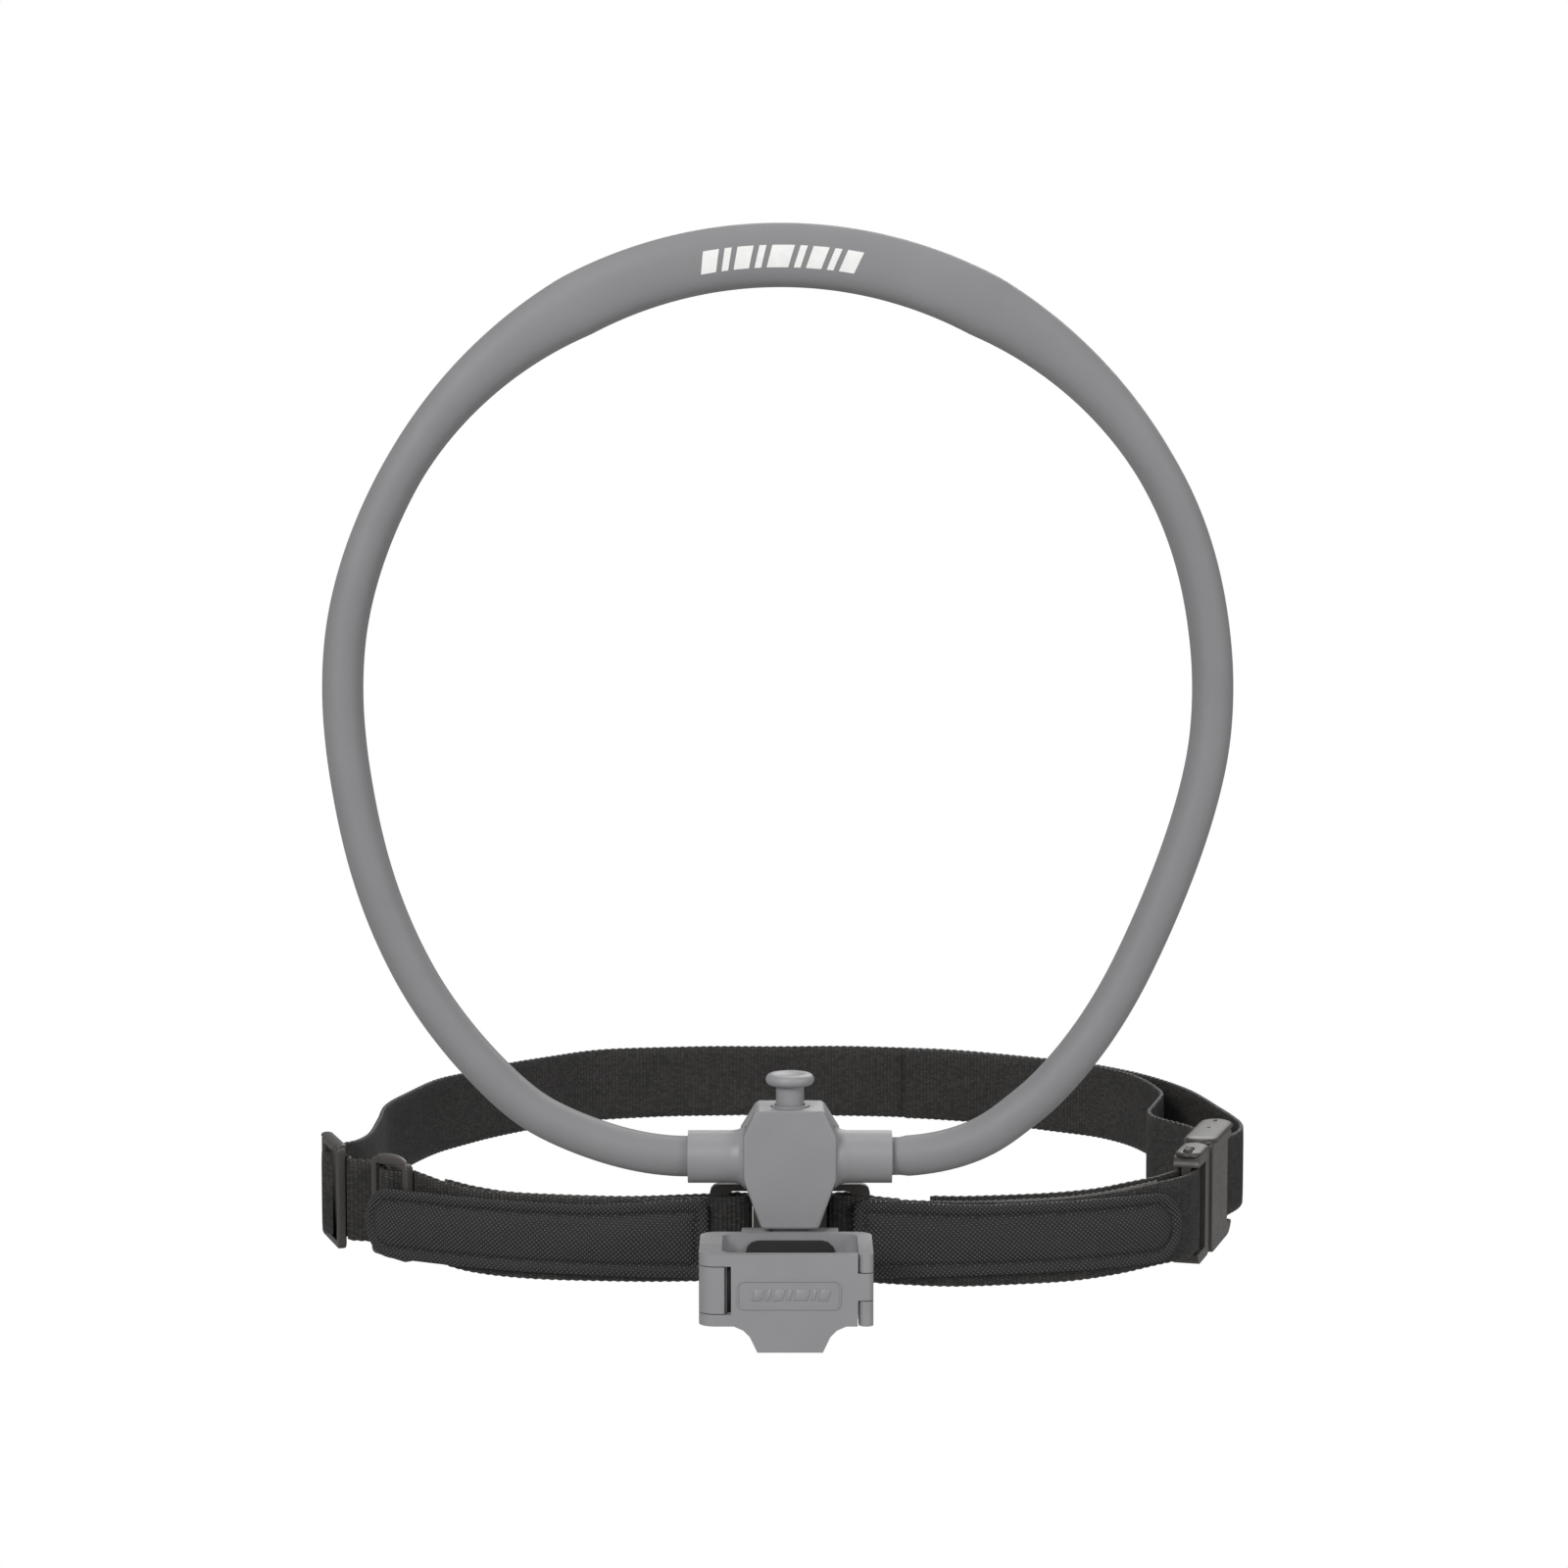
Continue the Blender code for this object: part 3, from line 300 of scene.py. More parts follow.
def woven_nylon(name, gap_shade_colour, yarn_colour, sheen_yarn_colour, rough):
    made, tree, shader = new_material(name, Roughness=rough, IOR=1.53, Sheen_Weight=0.06,
                                      Sheen_Roughness=0.4)
    where = add_node(tree, "ShaderNodeTexCoord", {})
    turned = add_node(tree, "ShaderNodeMapping", {"Rotation": (0, 0, math.pi / 2)},
                      {"Vector": where.outputs["UV"]})
    # The mortar is painted shade between the yarns, and Color2 is painted sheen on them.
    brick = add_node(tree, "ShaderNodeTexBrick",
                     {"Scale": 1.0, "Mortar Size": 0.17 * MM, "Mortar Smooth": 1.0, "Bias": 0.0,
                      "Brick Width": YARN * MM, "Row Height": RIB * MM, "Color1": from_hex(yarn_colour),
                      "Color2": from_hex(sheen_yarn_colour), "Mortar": from_hex(gap_shade_colour)},
                     {"Vector": turned.outputs["Vector"]})
    worn = add_node(tree, "ShaderNodeMix", {"data_type": "RGBA", "blend_type": "MULTIPLY", 0: 1.0},
                    {6: brick.outputs["Color"], 7: two_tone(tree, grain(tree, 22), "#B8B4B0", "#FFFFFF")})
    tree.links.new(worn.outputs[2], shader.inputs["Base Color"])
    flipped = add_node(tree, "ShaderNodeMath", {"operation": "SUBTRACT", 0: 1.0},
                       {1: brick.outputs["Fac"]})
    yarn = relief(tree, shader, flipped.outputs["Value"], 0.2)
    relief(tree, shader, grain(tree, 0.25, 3), 0.05, yarn)
    return made


# Colours: painted shade in the gaps, the yarn's own colour, and painted sheen.
webbing = woven_nylon("woven_nylon_webbing", "#070606", "#252321", "#454240", 0.55)

# %% [markdown]
# ## Leatherette, thread and tapes
# The two pads are covered in polyurethane leatherette with a cross-hatch pressed into it: two sets of fine
# diagonal grooves about 1.2 mm apart. It is sewn with waxed polyester thread. Hook tape has rows of stiff
# greyish hooks, and loop tape has a dull black pile.

# %% Leatherette, thread and tapes
HATCH = 1.15


def hatch(tree, angle):
    """One set of pressed grooves, as a wave across them."""
    where = add_node(tree, "ShaderNodeTexCoord", {})
    turned = add_node(tree, "ShaderNodeMapping", {"Rotation": (0, 0, math.radians(angle))},
                      {"Vector": where.outputs["UV"]})
    wave = add_node(tree, "ShaderNodeTexWave",
                    {"Scale": 2 * math.pi / (20 * HATCH * MM), "Distortion": 0.6, "Detail": 1.0,
                     "Detail Scale": 0.3},
                    {"Vector": turned.outputs["Vector"]})
    return wave.outputs["Fac"]


leatherette, tree, shader = new_material("cross_hatched_leatherette", Roughness=0.5, IOR=1.5)
crossed = add_node(tree, "ShaderNodeMath", {"operation": "MULTIPLY"},
                   {0: hatch(tree, 38), 1: hatch(tree, -48)})
# Painted highlight and shade: the hatch's colour runs from near black in the grooves to light grey on the
# ridges.
tree.links.new(two_tone(tree, crossed.outputs["Value"], "#09090A", "#5E5E60"), shader.inputs["Base Color"])
tree.links.new(spread(tree, crossed.outputs["Value"], 0.62, 0.4), shader.inputs["Roughness"])
pressed = relief(tree, shader, crossed.outputs["Value"], 0.45)
relief(tree, shader, grain(tree, 0.3, 2), 0.03, pressed)

thread, tree, shader = new_material("waxed_black_thread", Roughness=0.5, Sheen_Weight=0.2)
tree.links.new(two_tone(tree, grain(tree, 0.4), "#060606", "#101010"), shader.inputs["Base Color"])

hook_tape, tree, shader = new_material("woven_hook_tape", Roughness=0.6)
tree.links.new(two_tone(tree, grain(tree, 0.7), "#353431", "#85837E"), shader.inputs["Base Color"])
relief(tree, shader, grain(tree, 0.5, 3), 0.15)

loop_tape, tree, shader = new_material("brushed_loop_pile", Roughness=0.9, Sheen_Weight=0.4,
                                       Sheen_Roughness=0.6)
tree.links.new(two_tone(tree, grain(tree, 0.9, 4), "#0F0F0F", "#262524"), shader.inputs["Base Color"])
relief(tree, shader, grain(tree, 0.6, 4), 0.4)
print("materials", leatherette.name, thread.name, hook_tape.name, loop_tape.name)

# %% [markdown]
# ## Handing a piece over
# Every finished piece moves with one body of the fixed model and hides the plain parts that it replaces.
# One function does both, so no piece is forgotten.

# %% Hand a piece over to the fixed model
def new_piece(name, bm, finish, smooth_to=None):
    """An object at the origin from a bmesh whose points are already in place."""
    bmesh.ops.recalc_face_normals(bm, faces=bm.faces)
    mesh = bpy.data.meshes.new(name)
    bm.to_mesh(mesh)
    bm.free()
    mesh.materials.append(finish)
    piece = bpy.data.objects.new(name, mesh)
    scene.collection.objects.link(piece)
    mesh.shade_smooth()
    if smooth_to is not None:
        mesh.set_sharp_from_angle(angle=math.radians(smooth_to))
    return piece


def bridge(bm, rows):
    """Skin neighbouring closed rows of points with four-sided faces."""
    for a, b in zip(rows, rows[1:]):
        for k in range(len(a)):
            n = (k + 1) % len(a)
            bm.faces.new((a[k], a[n], b[n], b[k]))


def hand_over(piece, body, slot, *nodes):
    """Say which body a piece moves with and the plain parts that it replaces. The slot is not used."""
    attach(piece, body)
    if nodes:
        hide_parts(*nodes)
    return piece


# %% [markdown]
# ## Neck ring
# The ring is one silicone moulding: a round tube that swells into a taller pad at the nape. Its centre
# line is a chain of tangent arcs, so it is worked out by turning a heading step by step, the way a
# draughtsman would lay it out. The soft ring leans a few millimetres to one side. A swept section suits
# it better than a bevelled curve, because the section changes and has a thin moulding lip inside.

# %% The ring's centre line
TUBE_R = 6.4
MOUTH_X = 32.8
TUBE_END_X = 19.0
LOW_ARCS = ((77.6, 45.0), (149.0, 18.5))
SIDE_TURN = 16.5
SHOULDER_ARC = (148.0, 12.5)
NAPE_R = 138.4
PAD_HALF = 9.9
PAD_SHIFT = 0.7
PAD_FLAT_DEG = 28.0
PAD_END_DEG = 60.0


def arc_reach(arcs, heading=0.0):
    """How far outward tangent arcs carry the centre line, and the heading that they end on."""
    reach = 0.0
    for radius, turn in arcs:
        reach += radius * (math.sin(math.radians(heading + turn)) - math.sin(math.radians(heading)))
        heading += turn
    return reach, heading


def ring_arcs():
    low, heading = arc_reach(LOW_ARCS)
    shoulder, _ = arc_reach((SHOULDER_ARC,), heading + SIDE_TURN)
    unit, _ = arc_reach(((1.0, SIDE_TURN),), heading)
    side_radius = (NAPE_R - MOUTH_X - low - shoulder) / unit
    nape_turn = 180.0 - heading - SIDE_TURN - SHOULDER_ARC[1]
    return (*LOW_ARCS, (side_radius, SIDE_TURN), SHOULDER_ARC, (NAPE_R, nape_turn))


def ring_half(step=2.5):
    """Stations (x, z, heading in degrees) from inside a collar to the nape."""
    stations = [(TUBE_END_X, 0.0, 0.0), (MOUTH_X, 0.0, 0.0), (MOUTH_X + 0.05, 0.0, 0.0)]
    x, z, heading = MOUTH_X, 0.0, 0.0
    for radius, turn in ring_arcs():
        steps = max(3, round(radius * math.radians(turn) / step))
        start = math.radians(heading)
        for i in range(1, steps + 1):
            now = math.radians(heading + turn * i / steps)
            stations.append((x + radius * (math.sin(now) - math.sin(start)),
                             z + radius * (math.cos(start) - math.cos(now)),
                             math.degrees(now)))
        x, z, heading = stations[-1]
    return stations


def ease(share):
    share = min(max(share, 0.0), 1.0)
    return share * share * (3 - 2 * share)


def lean(z):
    """How far the soft ring stands to one side at a height above the hub axis."""
    belly = math.sin(math.pi * min(max(z / 140.0, 0.0), 1.0))
    return 0.9 * ease((z - 165.0) / 50.0) - 3.9 * ease(z / 16.0) - 2.1 * belly * belly


right_half = ring_half()
ring_line = right_half + [(-x, z, 360.0 - heading) for x, z, heading in reversed(right_half[:-1])]
print("ring stations", len(ring_line), "rise", round(right_half[-1][1], 2), "mm")

# %% Sweep the ring
LIP_HIGH = 0.35
LIP_WIDE = 0.07
STEP_LONG = 2.8
STEP_THIN = 0.93
PAD_SQUARE = 0.22
PAD_FLAT = 0.12


def section_angles(count=30):
    """Angles round the section, closer together at the inner lip, which lies at half a turn."""
    even = [2 * math.pi * k / count for k in range(count)]
    close = [math.pi + LIP_WIDE * k for k in (-3, -2, -1, 0, 1, 2, 3)]
    return sorted([a for a in even if abs(a - math.pi) > 4 * LIP_WIDE] + close)


def neck_ring():
    bm = bmesh.new()
    rows = []
    for x, z, heading in ring_line:
        angle = math.radians(heading)
        outward = Vector((math.sin(angle), 0, -math.cos(angle)))
        off = abs(heading - 180.0)
        share = min(max((PAD_END_DEG - off) / (PAD_END_DEG - PAD_FLAT_DEG), 0.0), 1.0) ** 1.5
        middle = place(x + lean(z), 0, z) - outward * PAD_SHIFT * share * MM
        tall = TUBE_R + (PAD_HALF - TUBE_R) * share
        deep = TUBE_R
        if MOUTH_X < x < MOUTH_X + STEP_LONG and z < STEP_LONG:
            tall, deep = tall * STEP_THIN, deep * STEP_THIN
        row = []
        for turn in section_angles():
            lip = LIP_HIGH * math.exp(-((turn - math.pi) / LIP_WIDE) ** 2)
            across = math.copysign(abs(math.cos(turn)) ** (1 - PAD_SQUARE * share), math.cos(turn))
            along = math.copysign(abs(math.sin(turn)) ** (1 - PAD_FLAT * share), math.sin(turn))
            spot = middle + outward * (tall * across - lip) * MM + Vector((0, deep * along * MM, 0))
            row.append(bm.verts.new(spot))
        rows.append(row)
    bridge(bm, rows)
    bm.faces.new(rows[0])
    bm.faces.new(rows[-1])
    return new_piece("neck_ring", bm, silicone, 50)


ring = hand_over(neck_ring(), "harness", "silicone", "neck_sleeve")
print("ring faces", len(ring.data.polygons))

# %% [markdown]
# ## Printed mark
# The nape pad carries a printed mark. Here it is a neutral row of slanted bars, each a thin raised patch
# of ink that follows the pad's curve. The row is about 50 mm long and 7 mm high.

# %% Slanted bars of ink
MARK_LONG = 50.0
MARK_HIGH = 7.0
MARK_Z_OFF = 1.4
MARK_SLANT = 2.0
INK_LEVELS = (0.14, -0.4)
INK_WIDTHS = (5.0, 2.2, 5.0, 2.2, 7.0, 2.2, 5.0, 2.2, 5.0)


def ink_bars():
    bm = bmesh.new()
    nape_z = right_half[-1][1]
    shift = lean(nape_z)
    gap = (MARK_LONG - sum(INK_WIDTHS)) / (len(INK_WIDTHS) - 1)
    start = -MARK_LONG / 2
    for width in INK_WIDTHS:
        steps, levels = 4, 5
        grid = []
        for i in range(steps + 1):
            for j in range(levels):
                level = j / (levels - 1)
                s = start + width * i / steps + (level - 0.5) * MARK_SLANT
                radius = NAPE_R - MARK_Z_OFF - MARK_HIGH / 2 + MARK_HIGH * level
                angle = s / NAPE_R
                reach = abs((radius - NAPE_R + PAD_SHIFT) / PAD_HALF) ** (1 / (1 - PAD_SQUARE))
                depth = TUBE_R * math.sqrt(1 - reach * reach) ** (1 - PAD_FLAT)
                x = radius * math.sin(angle) + shift
                z = nape_z - NAPE_R + radius * math.cos(angle)
                grid.append([bm.verts.new(place(x, -depth - proud, z)) for proud in INK_LEVELS])
        for i in range(steps):
            for j in range(levels - 1):
                a, b = i * levels + j, (i + 1) * levels + j
                bm.faces.new([grid[k][0] for k in (a, b, b + 1, a + 1)])
                bm.faces.new([grid[k][1] for k in (a + 1, b + 1, b, a)])
        rim = [i * levels for i in range(steps + 1)] + [steps * levels + j for j in range(1, levels)]
        rim += [i * levels + levels - 1 for i in range(steps - 1, -1, -1)]
        rim += list(range(levels - 2, 0, -1))
        for a, b in zip(rim, [*rim[1:], rim[0]]):
            bm.faces.new((grid[a][0], grid[b][0], grid[b][1], grid[a][1]))
        start += width + gap
    return new_piece("nape_mark", bm, white_ink, 40)


hand_over(ink_bars(), "harness", "silicone")

# %% [markdown]
# ## Moulded parts with real edges
# The hub, clamp, sliders and buckle already have the right shape. What a moulding has and a sharp solid
# lacks is a small radius on every edge, because a mould can't hold a knife edge and a hand wouldn't like
# it. So each part's mesh is copied, its loose triangles are merged back into flat faces, and a Bevel
# rounds the edges that turn more than 30 degrees. Weighted normals keep the flats flat.

# %% Round the edges of a moulded part
def moulded(node, finish, body, slot, radius, segments=3):
    bm = bmesh.new()
    bm.from_mesh(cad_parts[node].data)
    bmesh.ops.remove_doubles(bm, verts=bm.verts, dist=0.002 * MM)
    bmesh.ops.dissolve_limit(bm, angle_limit=math.radians(0.8), verts=bm.verts, edges=bm.edges)
    bm.verts.index_update()
    points = [v.co.copy() for v in bm.verts]
    faces = [[v.index for v in f.verts] for f in bm.faces]
    bm.free()
    mesh = bpy.data.meshes.new(node + "_moulded")
    mesh.from_pydata(points, [], faces)
    mesh.materials.append(finish)
    mesh.shade_smooth()
    piece = bpy.data.objects.new(node + "_moulded", mesh)
    scene.collection.objects.link(piece)
    edges = piece.modifiers.new("rounded edges", "BEVEL")
    edges.width = radius * MM
    edges.segments = segments
    edges.limit_method = "ANGLE"
    edges.angle_limit = math.radians(30)
    edges.miter_outer = "MITER_ARC"
    even = piece.modifiers.new("even normals", "WEIGHTED_NORMAL")
    even.keep_sharp = False
    hand_over(piece, body, slot, node)
    return piece


GREY_PARTS = {"hub_rear_body": ("harness", 0.45), "hub_front_cover": ("harness", 0.4),
              "stem_bush": ("harness", 0.3),
              "clamp_frame": ("clamp", 0.5), "clamp_door": ("door", 0.5), "latch_lever": ("latch", 0.5)}
for node, (body, radius) in GREY_PARTS.items():
    moulded(node, abs_grey, body, "abs_grey", radius)
BLACK_PARTS = {"strap_plate": ("harness", 0.6), "triglide_left": ("harness", 0.8),
               "triglide_front_left": ("harness", 0.8),
               "buckle_plug": ("harness", 0.7), "buckle_socket": ("socket", 1.2),
               "buckle_arm_upper": ("arm_upper", 0.7), "buckle_arm_lower": ("arm_lower", 0.7)}
for node, (body, radius) in BLACK_PARTS.items():
    moulded(node, acetal, body, "acetal_black", radius)
for node, body in (("rear_grip_pad", "clamp"), ("front_grip_pad", "door"), ("brake_tip", "pull_knob")):
    moulded(node, rubber, body, "black_rubber", 0.3)
print("moulded parts", len(GREY_PARTS) + len(BLACK_PARTS) + 3)

# %% [markdown]
# ## Soft tops and root fillets
# The buckle and the front slider have a smooth rounded top, where the mould opens, like the back of a
# spoon. Each is a dome over a long plan outline with round or pointed ends. The buckle's top also has a
# crescent slit and a vent hole, drawn as thin domes of dark rubber on its top as painted shade for their
# insides, and two round lugs stand at its near end. Where each collar leaves the hub, a concave fillet takes
# up the corner.

# %% Domes over a plan outline
DOME_STEPS = 36
DOME_SIDES = 12


def dome(name, home, turn, run, half_wide, base, rise, point, finish):
    """A domed cap over a plan outline; point is 0.5 for round ends and 1 for pointed ones."""
    along = Vector((math.cos(turn), math.sin(turn)))
    across = Vector((-along.y, along.x))
    bm = bmesh.new()
    rows = []
    round_end = half_wide if point < 0.8 else (run[1] - run[0]) / 2
    for i in range(DOME_STEPS + 1):
        share = 0.5 - 0.5 * math.cos(math.pi * i / DOME_STEPS)
        s = run[0] + (run[1] - run[0]) * share
        inset = min(s - run[0], run[1] - s, round_end) / round_end
        wide = half_wide * max(inset * (2 - inset), 0.0) ** point
        row = []
        for k in range(DOME_SIDES + 1):
            angle = math.pi * k / DOME_SIDES
            off = -wide * math.cos(angle)
            up = rise * (wide / half_wide) ** 0.5 * math.sin(angle) ** 0.6
            spot = Vector(home) + along * s + across * off
            row.append(bm.verts.new(place(spot.x, spot.y, base + up)))
        rows.append(row)
    for a, b in zip(rows, rows[1:]):
        for k in range(DOME_SIDES):
            bm.faces.new((a[k], b[k], b[k + 1], a[k + 1]))
        bm.faces.new((a[0], a[-1], b[-1], b[0]))
    bmesh.ops.remove_doubles(bm, verts=bm.verts, dist=0.02 * MM)
    bmesh.ops.dissolve_degenerate(bm, edges=bm.edges, dist=0.005 * MM)
    return new_piece(name, bm, finish, 60)


LEFT_SLIDER = ((-155.5, 74.0), math.atan2(28.0, -9.0), 28.0)
FRONT_SLIDER = ((-132.7, 44.5), math.atan2(17.0, -13.5), 22.0)
BUCKLE_AT = Vector((132.5, 49.0))
BUCKLE_ALONG = Vector((0.28, 0.96)).normalized()
BUCKLE_ACROSS = Vector((-BUCKLE_ALONG.y, BUCKLE_ALONG.x))
BUCKLE = (BUCKLE_AT, math.atan2(BUCKLE_ALONG.y, BUCKLE_ALONG.x))
WEB_LOW = -42.5
WEB_HIGH = -14.5
WEB_MID = (WEB_LOW + WEB_HIGH) / 2

# Each dome: what it sits on, its run along that, half width, height of its base over the webbing's
# middle, rise, and 0.5 for round ends or 1 for pointed ones
TOPS = {
    "buckle_top": (BUCKLE, (23.0, 64.0), 5.9, 18.7, 2.0, 0.5),
    # The slit and the hole are thin dark rubber domes: painted shade for their insides.
    "crescent_slit_shade": (BUCKLE, (54.0, 59.5), 0.8, 20.55, 0.3, 1.0),
    "vent_hole_shade": (BUCKLE, (43.0, 44.4), 0.7, 20.6, 0.25, 0.5),
    "plug_top": (BUCKLE, (1.2, 22.2), 4.6, 18.3, 1.6, 0.5),
    "plug_lug_0": (BUCKLE, (2.4, 5.8), 1.7, 19.4, 1.5, 0.5),
    "plug_lug_1": (BUCKLE, (6.2, 9.8), 1.7, 19.4, 1.5, 0.5),
    "front_slider_top": (FRONT_SLIDER, (-9.5, 9.5), 3.0, 18.0, 2.4, 1.0),
    "left_slider_top": (LEFT_SLIDER, (-13.0, 13.0), 2.1, 19.2, 1.2, 0.5),
}
ON_SOCKET = ("buckle_top", "crescent_slit_shade", "vent_hole_shade")
HOLE_SHADES = ("crescent_slit_shade", "vent_hole_shade")
for name, (seat, run, half_wide, base, rise, point) in TOPS.items():
    # The slit and hole take the dark rubber as painted shade.
    top = dome(name, seat[0], seat[1], run, half_wide, WEB_MID + base, rise, point,
               rubber if name in HOLE_SHADES else acetal)
    hand_over(top, "socket" if name in ON_SOCKET else "harness", "acetal_black")
print("domed tops", len(TOPS))


# %% Fillets at the collars' roots
ROOT_SIDES = 48
ROOT_PROFILE = [(14.4, 8.0), (14.4, 10.6), (15.0, 9.75), (15.8, 9.15), (16.8, 8.75), (18.0, 8.53),
                (19.2, 8.47), (19.2, 8.0)]


def collar_root(side):
    bm = bmesh.new()
    rings = []
    for run, radius in ROOT_PROFILE:
        turns = [2 * math.pi * k / ROOT_SIDES for k in range(ROOT_SIDES)]
        rings.append([bm.verts.new(place(side * run, radius * math.cos(t), radius * math.sin(t)))
                      for t in turns])
    bridge(bm, [*rings, rings[0]])
    return new_piece("collar_root_left" if side < 0 else "collar_root_right", bm, abs_grey, 50)


for side in (-1, 1):
    hand_over(collar_root(side), "harness", "abs_grey")

# %% [markdown]
# ## Parts that keep their shape
# Pins, axle, core and ferrules sit inside other parts and are plain turned metal. Their solids are already
# right, so they stay and only get their metals.

# %% Metals on the fixed parts
FIXED = {"neck_core": steel, "ferrule_left": aluminium, "ferrule_right": aluminium, "plunger_rod": steel,
         "tilt_axle": steel, "door_pin": steel, "latch_pin": steel}
for node, finish in FIXED.items():
    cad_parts[node].data.materials.clear()
    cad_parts[node].data.materials.append(finish)
print("fixed parts with metals", len(FIXED))

# %% [markdown]
# ## Pull knob
# The knob is a turned form: a slim stem and a round cap with a full-round edge. A profile spun round the
# axis gives it an even surface, with a shallow dish on top where the mould's pin left its ring.

# %% Spin the knob
SHAFT_Y = -3.0
KNOB_R = 7.8
KNOB_TOP = 27.6
STEM_R = 4.5


def spun(name, profile, at, finish, steps=64):
    """A closed turned piece from (radius, height) points, from the axis round to the axis."""
    bm = bmesh.new()
    rings = []
    for radius, height in profile:
        if radius == 0:
            rings.append([bm.verts.new(place(at[0], at[1], at[2] + height))])
            continue
        ring = []
        for k in range(steps):
            angle = 2 * math.pi * k / steps
            x, y = radius * math.cos(angle), radius * math.sin(angle)
            ring.append(bm.verts.new(place(at[0] + x, at[1] + y, at[2] + height)))
        rings.append(ring)
    for a, b in zip(rings, rings[1:]):
        for k in range(steps):
            n = (k + 1) % steps
            corners = [a[k % len(a)], b[k % len(b)], b[n % len(b)], a[n % len(a)]]
            bm.faces.new(list(dict.fromkeys(corners)))
    return new_piece(name, bm, finish, 35)


def round_edge(radius, middle_r, middle_z, start, end, steps=10):
    turns = [math.radians(start + (end - start) * i / steps) for i in range(steps + 1)]
    return [(middle_r + radius * math.cos(t), middle_z + radius * math.sin(t)) for t in turns]


cap = round_edge(1.8, KNOB_R - 1.8, KNOB_TOP - 1.8, 90, -90)
neck = round_edge(0.7, STEM_R + 0.7, KNOB_TOP - 4.3, 90, 180, 5)
knob_profile = [(0, KNOB_TOP - 0.25), (3.6, KNOB_TOP - 0.25), (4.1, KNOB_TOP), *cap, *neck,
                (STEM_R, 11.3), (2.85, 11.3), (2.85, 18.0), (0, 18.0)]
hand_over(spun("pull_knob_turned", knob_profile, (0, SHAFT_Y, 0), abs_grey), "pull_knob", "abs_grey", "knob")

# %% [markdown]
# ## Springs
# A compression spring is a helix with its end turns closed flat. Its points come from a loop, and a
# bevelled curve gives the wire. The plunger spring shortens as the knob is pulled, so it is squashed
# towards the top of its bay. The latch spring is small and rides on the door.

# %% Coil springs
def coil(name, centre, axis, radius, wire, low, high, turns):
    curve = bpy.data.curves.new(name, "CURVE")
    curve.dimensions = "3D"
    curve.bevel_depth = wire * MM
    curve.bevel_resolution = 3
    curve.use_fill_caps = True
    spline = curve.splines.new("POLY")
    per_turn = 20
    count = turns * per_turn + 1
    spline.points.add(count - 1)
    for i in range(count):
        angle = 2 * math.pi * i / per_turn
        done = i / (count - 1)
        share = 0.3 * ease((done - 0.08) / 0.84) + 0.7 * min(max((done - 0.1) / 0.8, 0), 1)
        a, b = radius * math.cos(angle), radius * math.sin(angle)
        run = low + wire + (high - low - 2 * wire) * share
        spot = (a, b, run) if axis == "Z" else (run, a, b)
        spline.points[i].co = (*place(centre[0] + spot[0], centre[1] + spot[1], centre[2] + spot[2]), 1)
    holder = bpy.data.objects.new(name + "_line", curve)
    scene.collection.objects.link(holder)
    mesh = bpy.data.meshes.new_from_object(holder.evaluated_get(bpy.context.evaluated_depsgraph_get()))
    bpy.data.objects.remove(holder)
    bm = bmesh.new()
    bm.from_mesh(mesh)
    bmesh.ops.remove_doubles(bm, verts=bm.verts, dist=0.005 * MM)
    return new_piece(name, bm, spring_wire, 50)


SPRING_LOW = -4.4
SPRING_HIGH = 8.5
spring = coil("plunger_coil", (0, SHAFT_Y, 0), "Z", 3.55, 0.35, SPRING_LOW, SPRING_HIGH, 6)
hand_over(spring, "harness", "spring_wire", "plunger_spring")
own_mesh(spring)
latch_coil = coil("latch_coil", (-25.2, -41.0, -33.3), "X", 0.9, 0.2, 0.0, 2.1, 4)
hand_over(latch_coil, "door", "spring_wire", "latch_spring")
print("springs", spring.name, latch_coil.name)

# %% [markdown]
# ## Screws by Geometry Nodes
# The hub is held by four long screws from behind and the strap plate by two short ones. They share one
# head, a pan with a cross recess. A node tree puts that head and a plain shank on every point of a mesh
# and turns it to face backwards, so all six come from one design. Its inputs are the screw's sizes.

# %% Helpers for node trees
def node_tree(name, inputs):
    """A Geometry Nodes tree with a geometry input, named inputs and a geometry output."""
    tree = bpy.data.node_groups.new(name, "GeometryNodeTree")
    tree.interface.new_socket("Geometry", in_out="INPUT", socket_type="NodeSocketGeometry")
    for label, kind, value in inputs:
        made = tree.interface.new_socket(label, in_out="INPUT", socket_type=kind)
        if value is not None:
            made.default_value = value
    tree.interface.new_socket("Geometry", in_out="OUTPUT", socket_type="NodeSocketGeometry")
    return tree, tree.nodes.new("NodeGroupInput"), tree.nodes.new("NodeGroupOutput")


def run_tree(piece, tree, values):
    """Evaluate a tree on a piece with these input values, and keep the result as a plain mesh."""
    step = piece.modifiers.new(tree.name, "NODES")
    step.node_group = tree
    for item in tree.interface.items_tree:
        if item.in_out == "INPUT" and item.name in values:
            step[item.identifier] = values[item.name]
    piece.update_tag()
    depsgraph = bpy.context.evaluated_depsgraph_get()
    mesh = bpy.data.meshes.new_from_object(piece.evaluated_get(depsgraph))
    piece.modifiers.remove(step)
    piece.data = mesh
    return piece


def finish_tree(tree, group_out, geometry, material_socket):
    """Every tree ends by making its copies real and giving them their material."""
    real = add_node(tree, "GeometryNodeRealizeInstances", {}, {"Geometry": geometry})
    painted = add_node(tree, "GeometryNodeSetMaterial", {},
                       {"Geometry": real.outputs["Geometry"], "Material": material_socket})
    tree.links.new(painted.outputs["Geometry"], group_out.inputs["Geometry"])


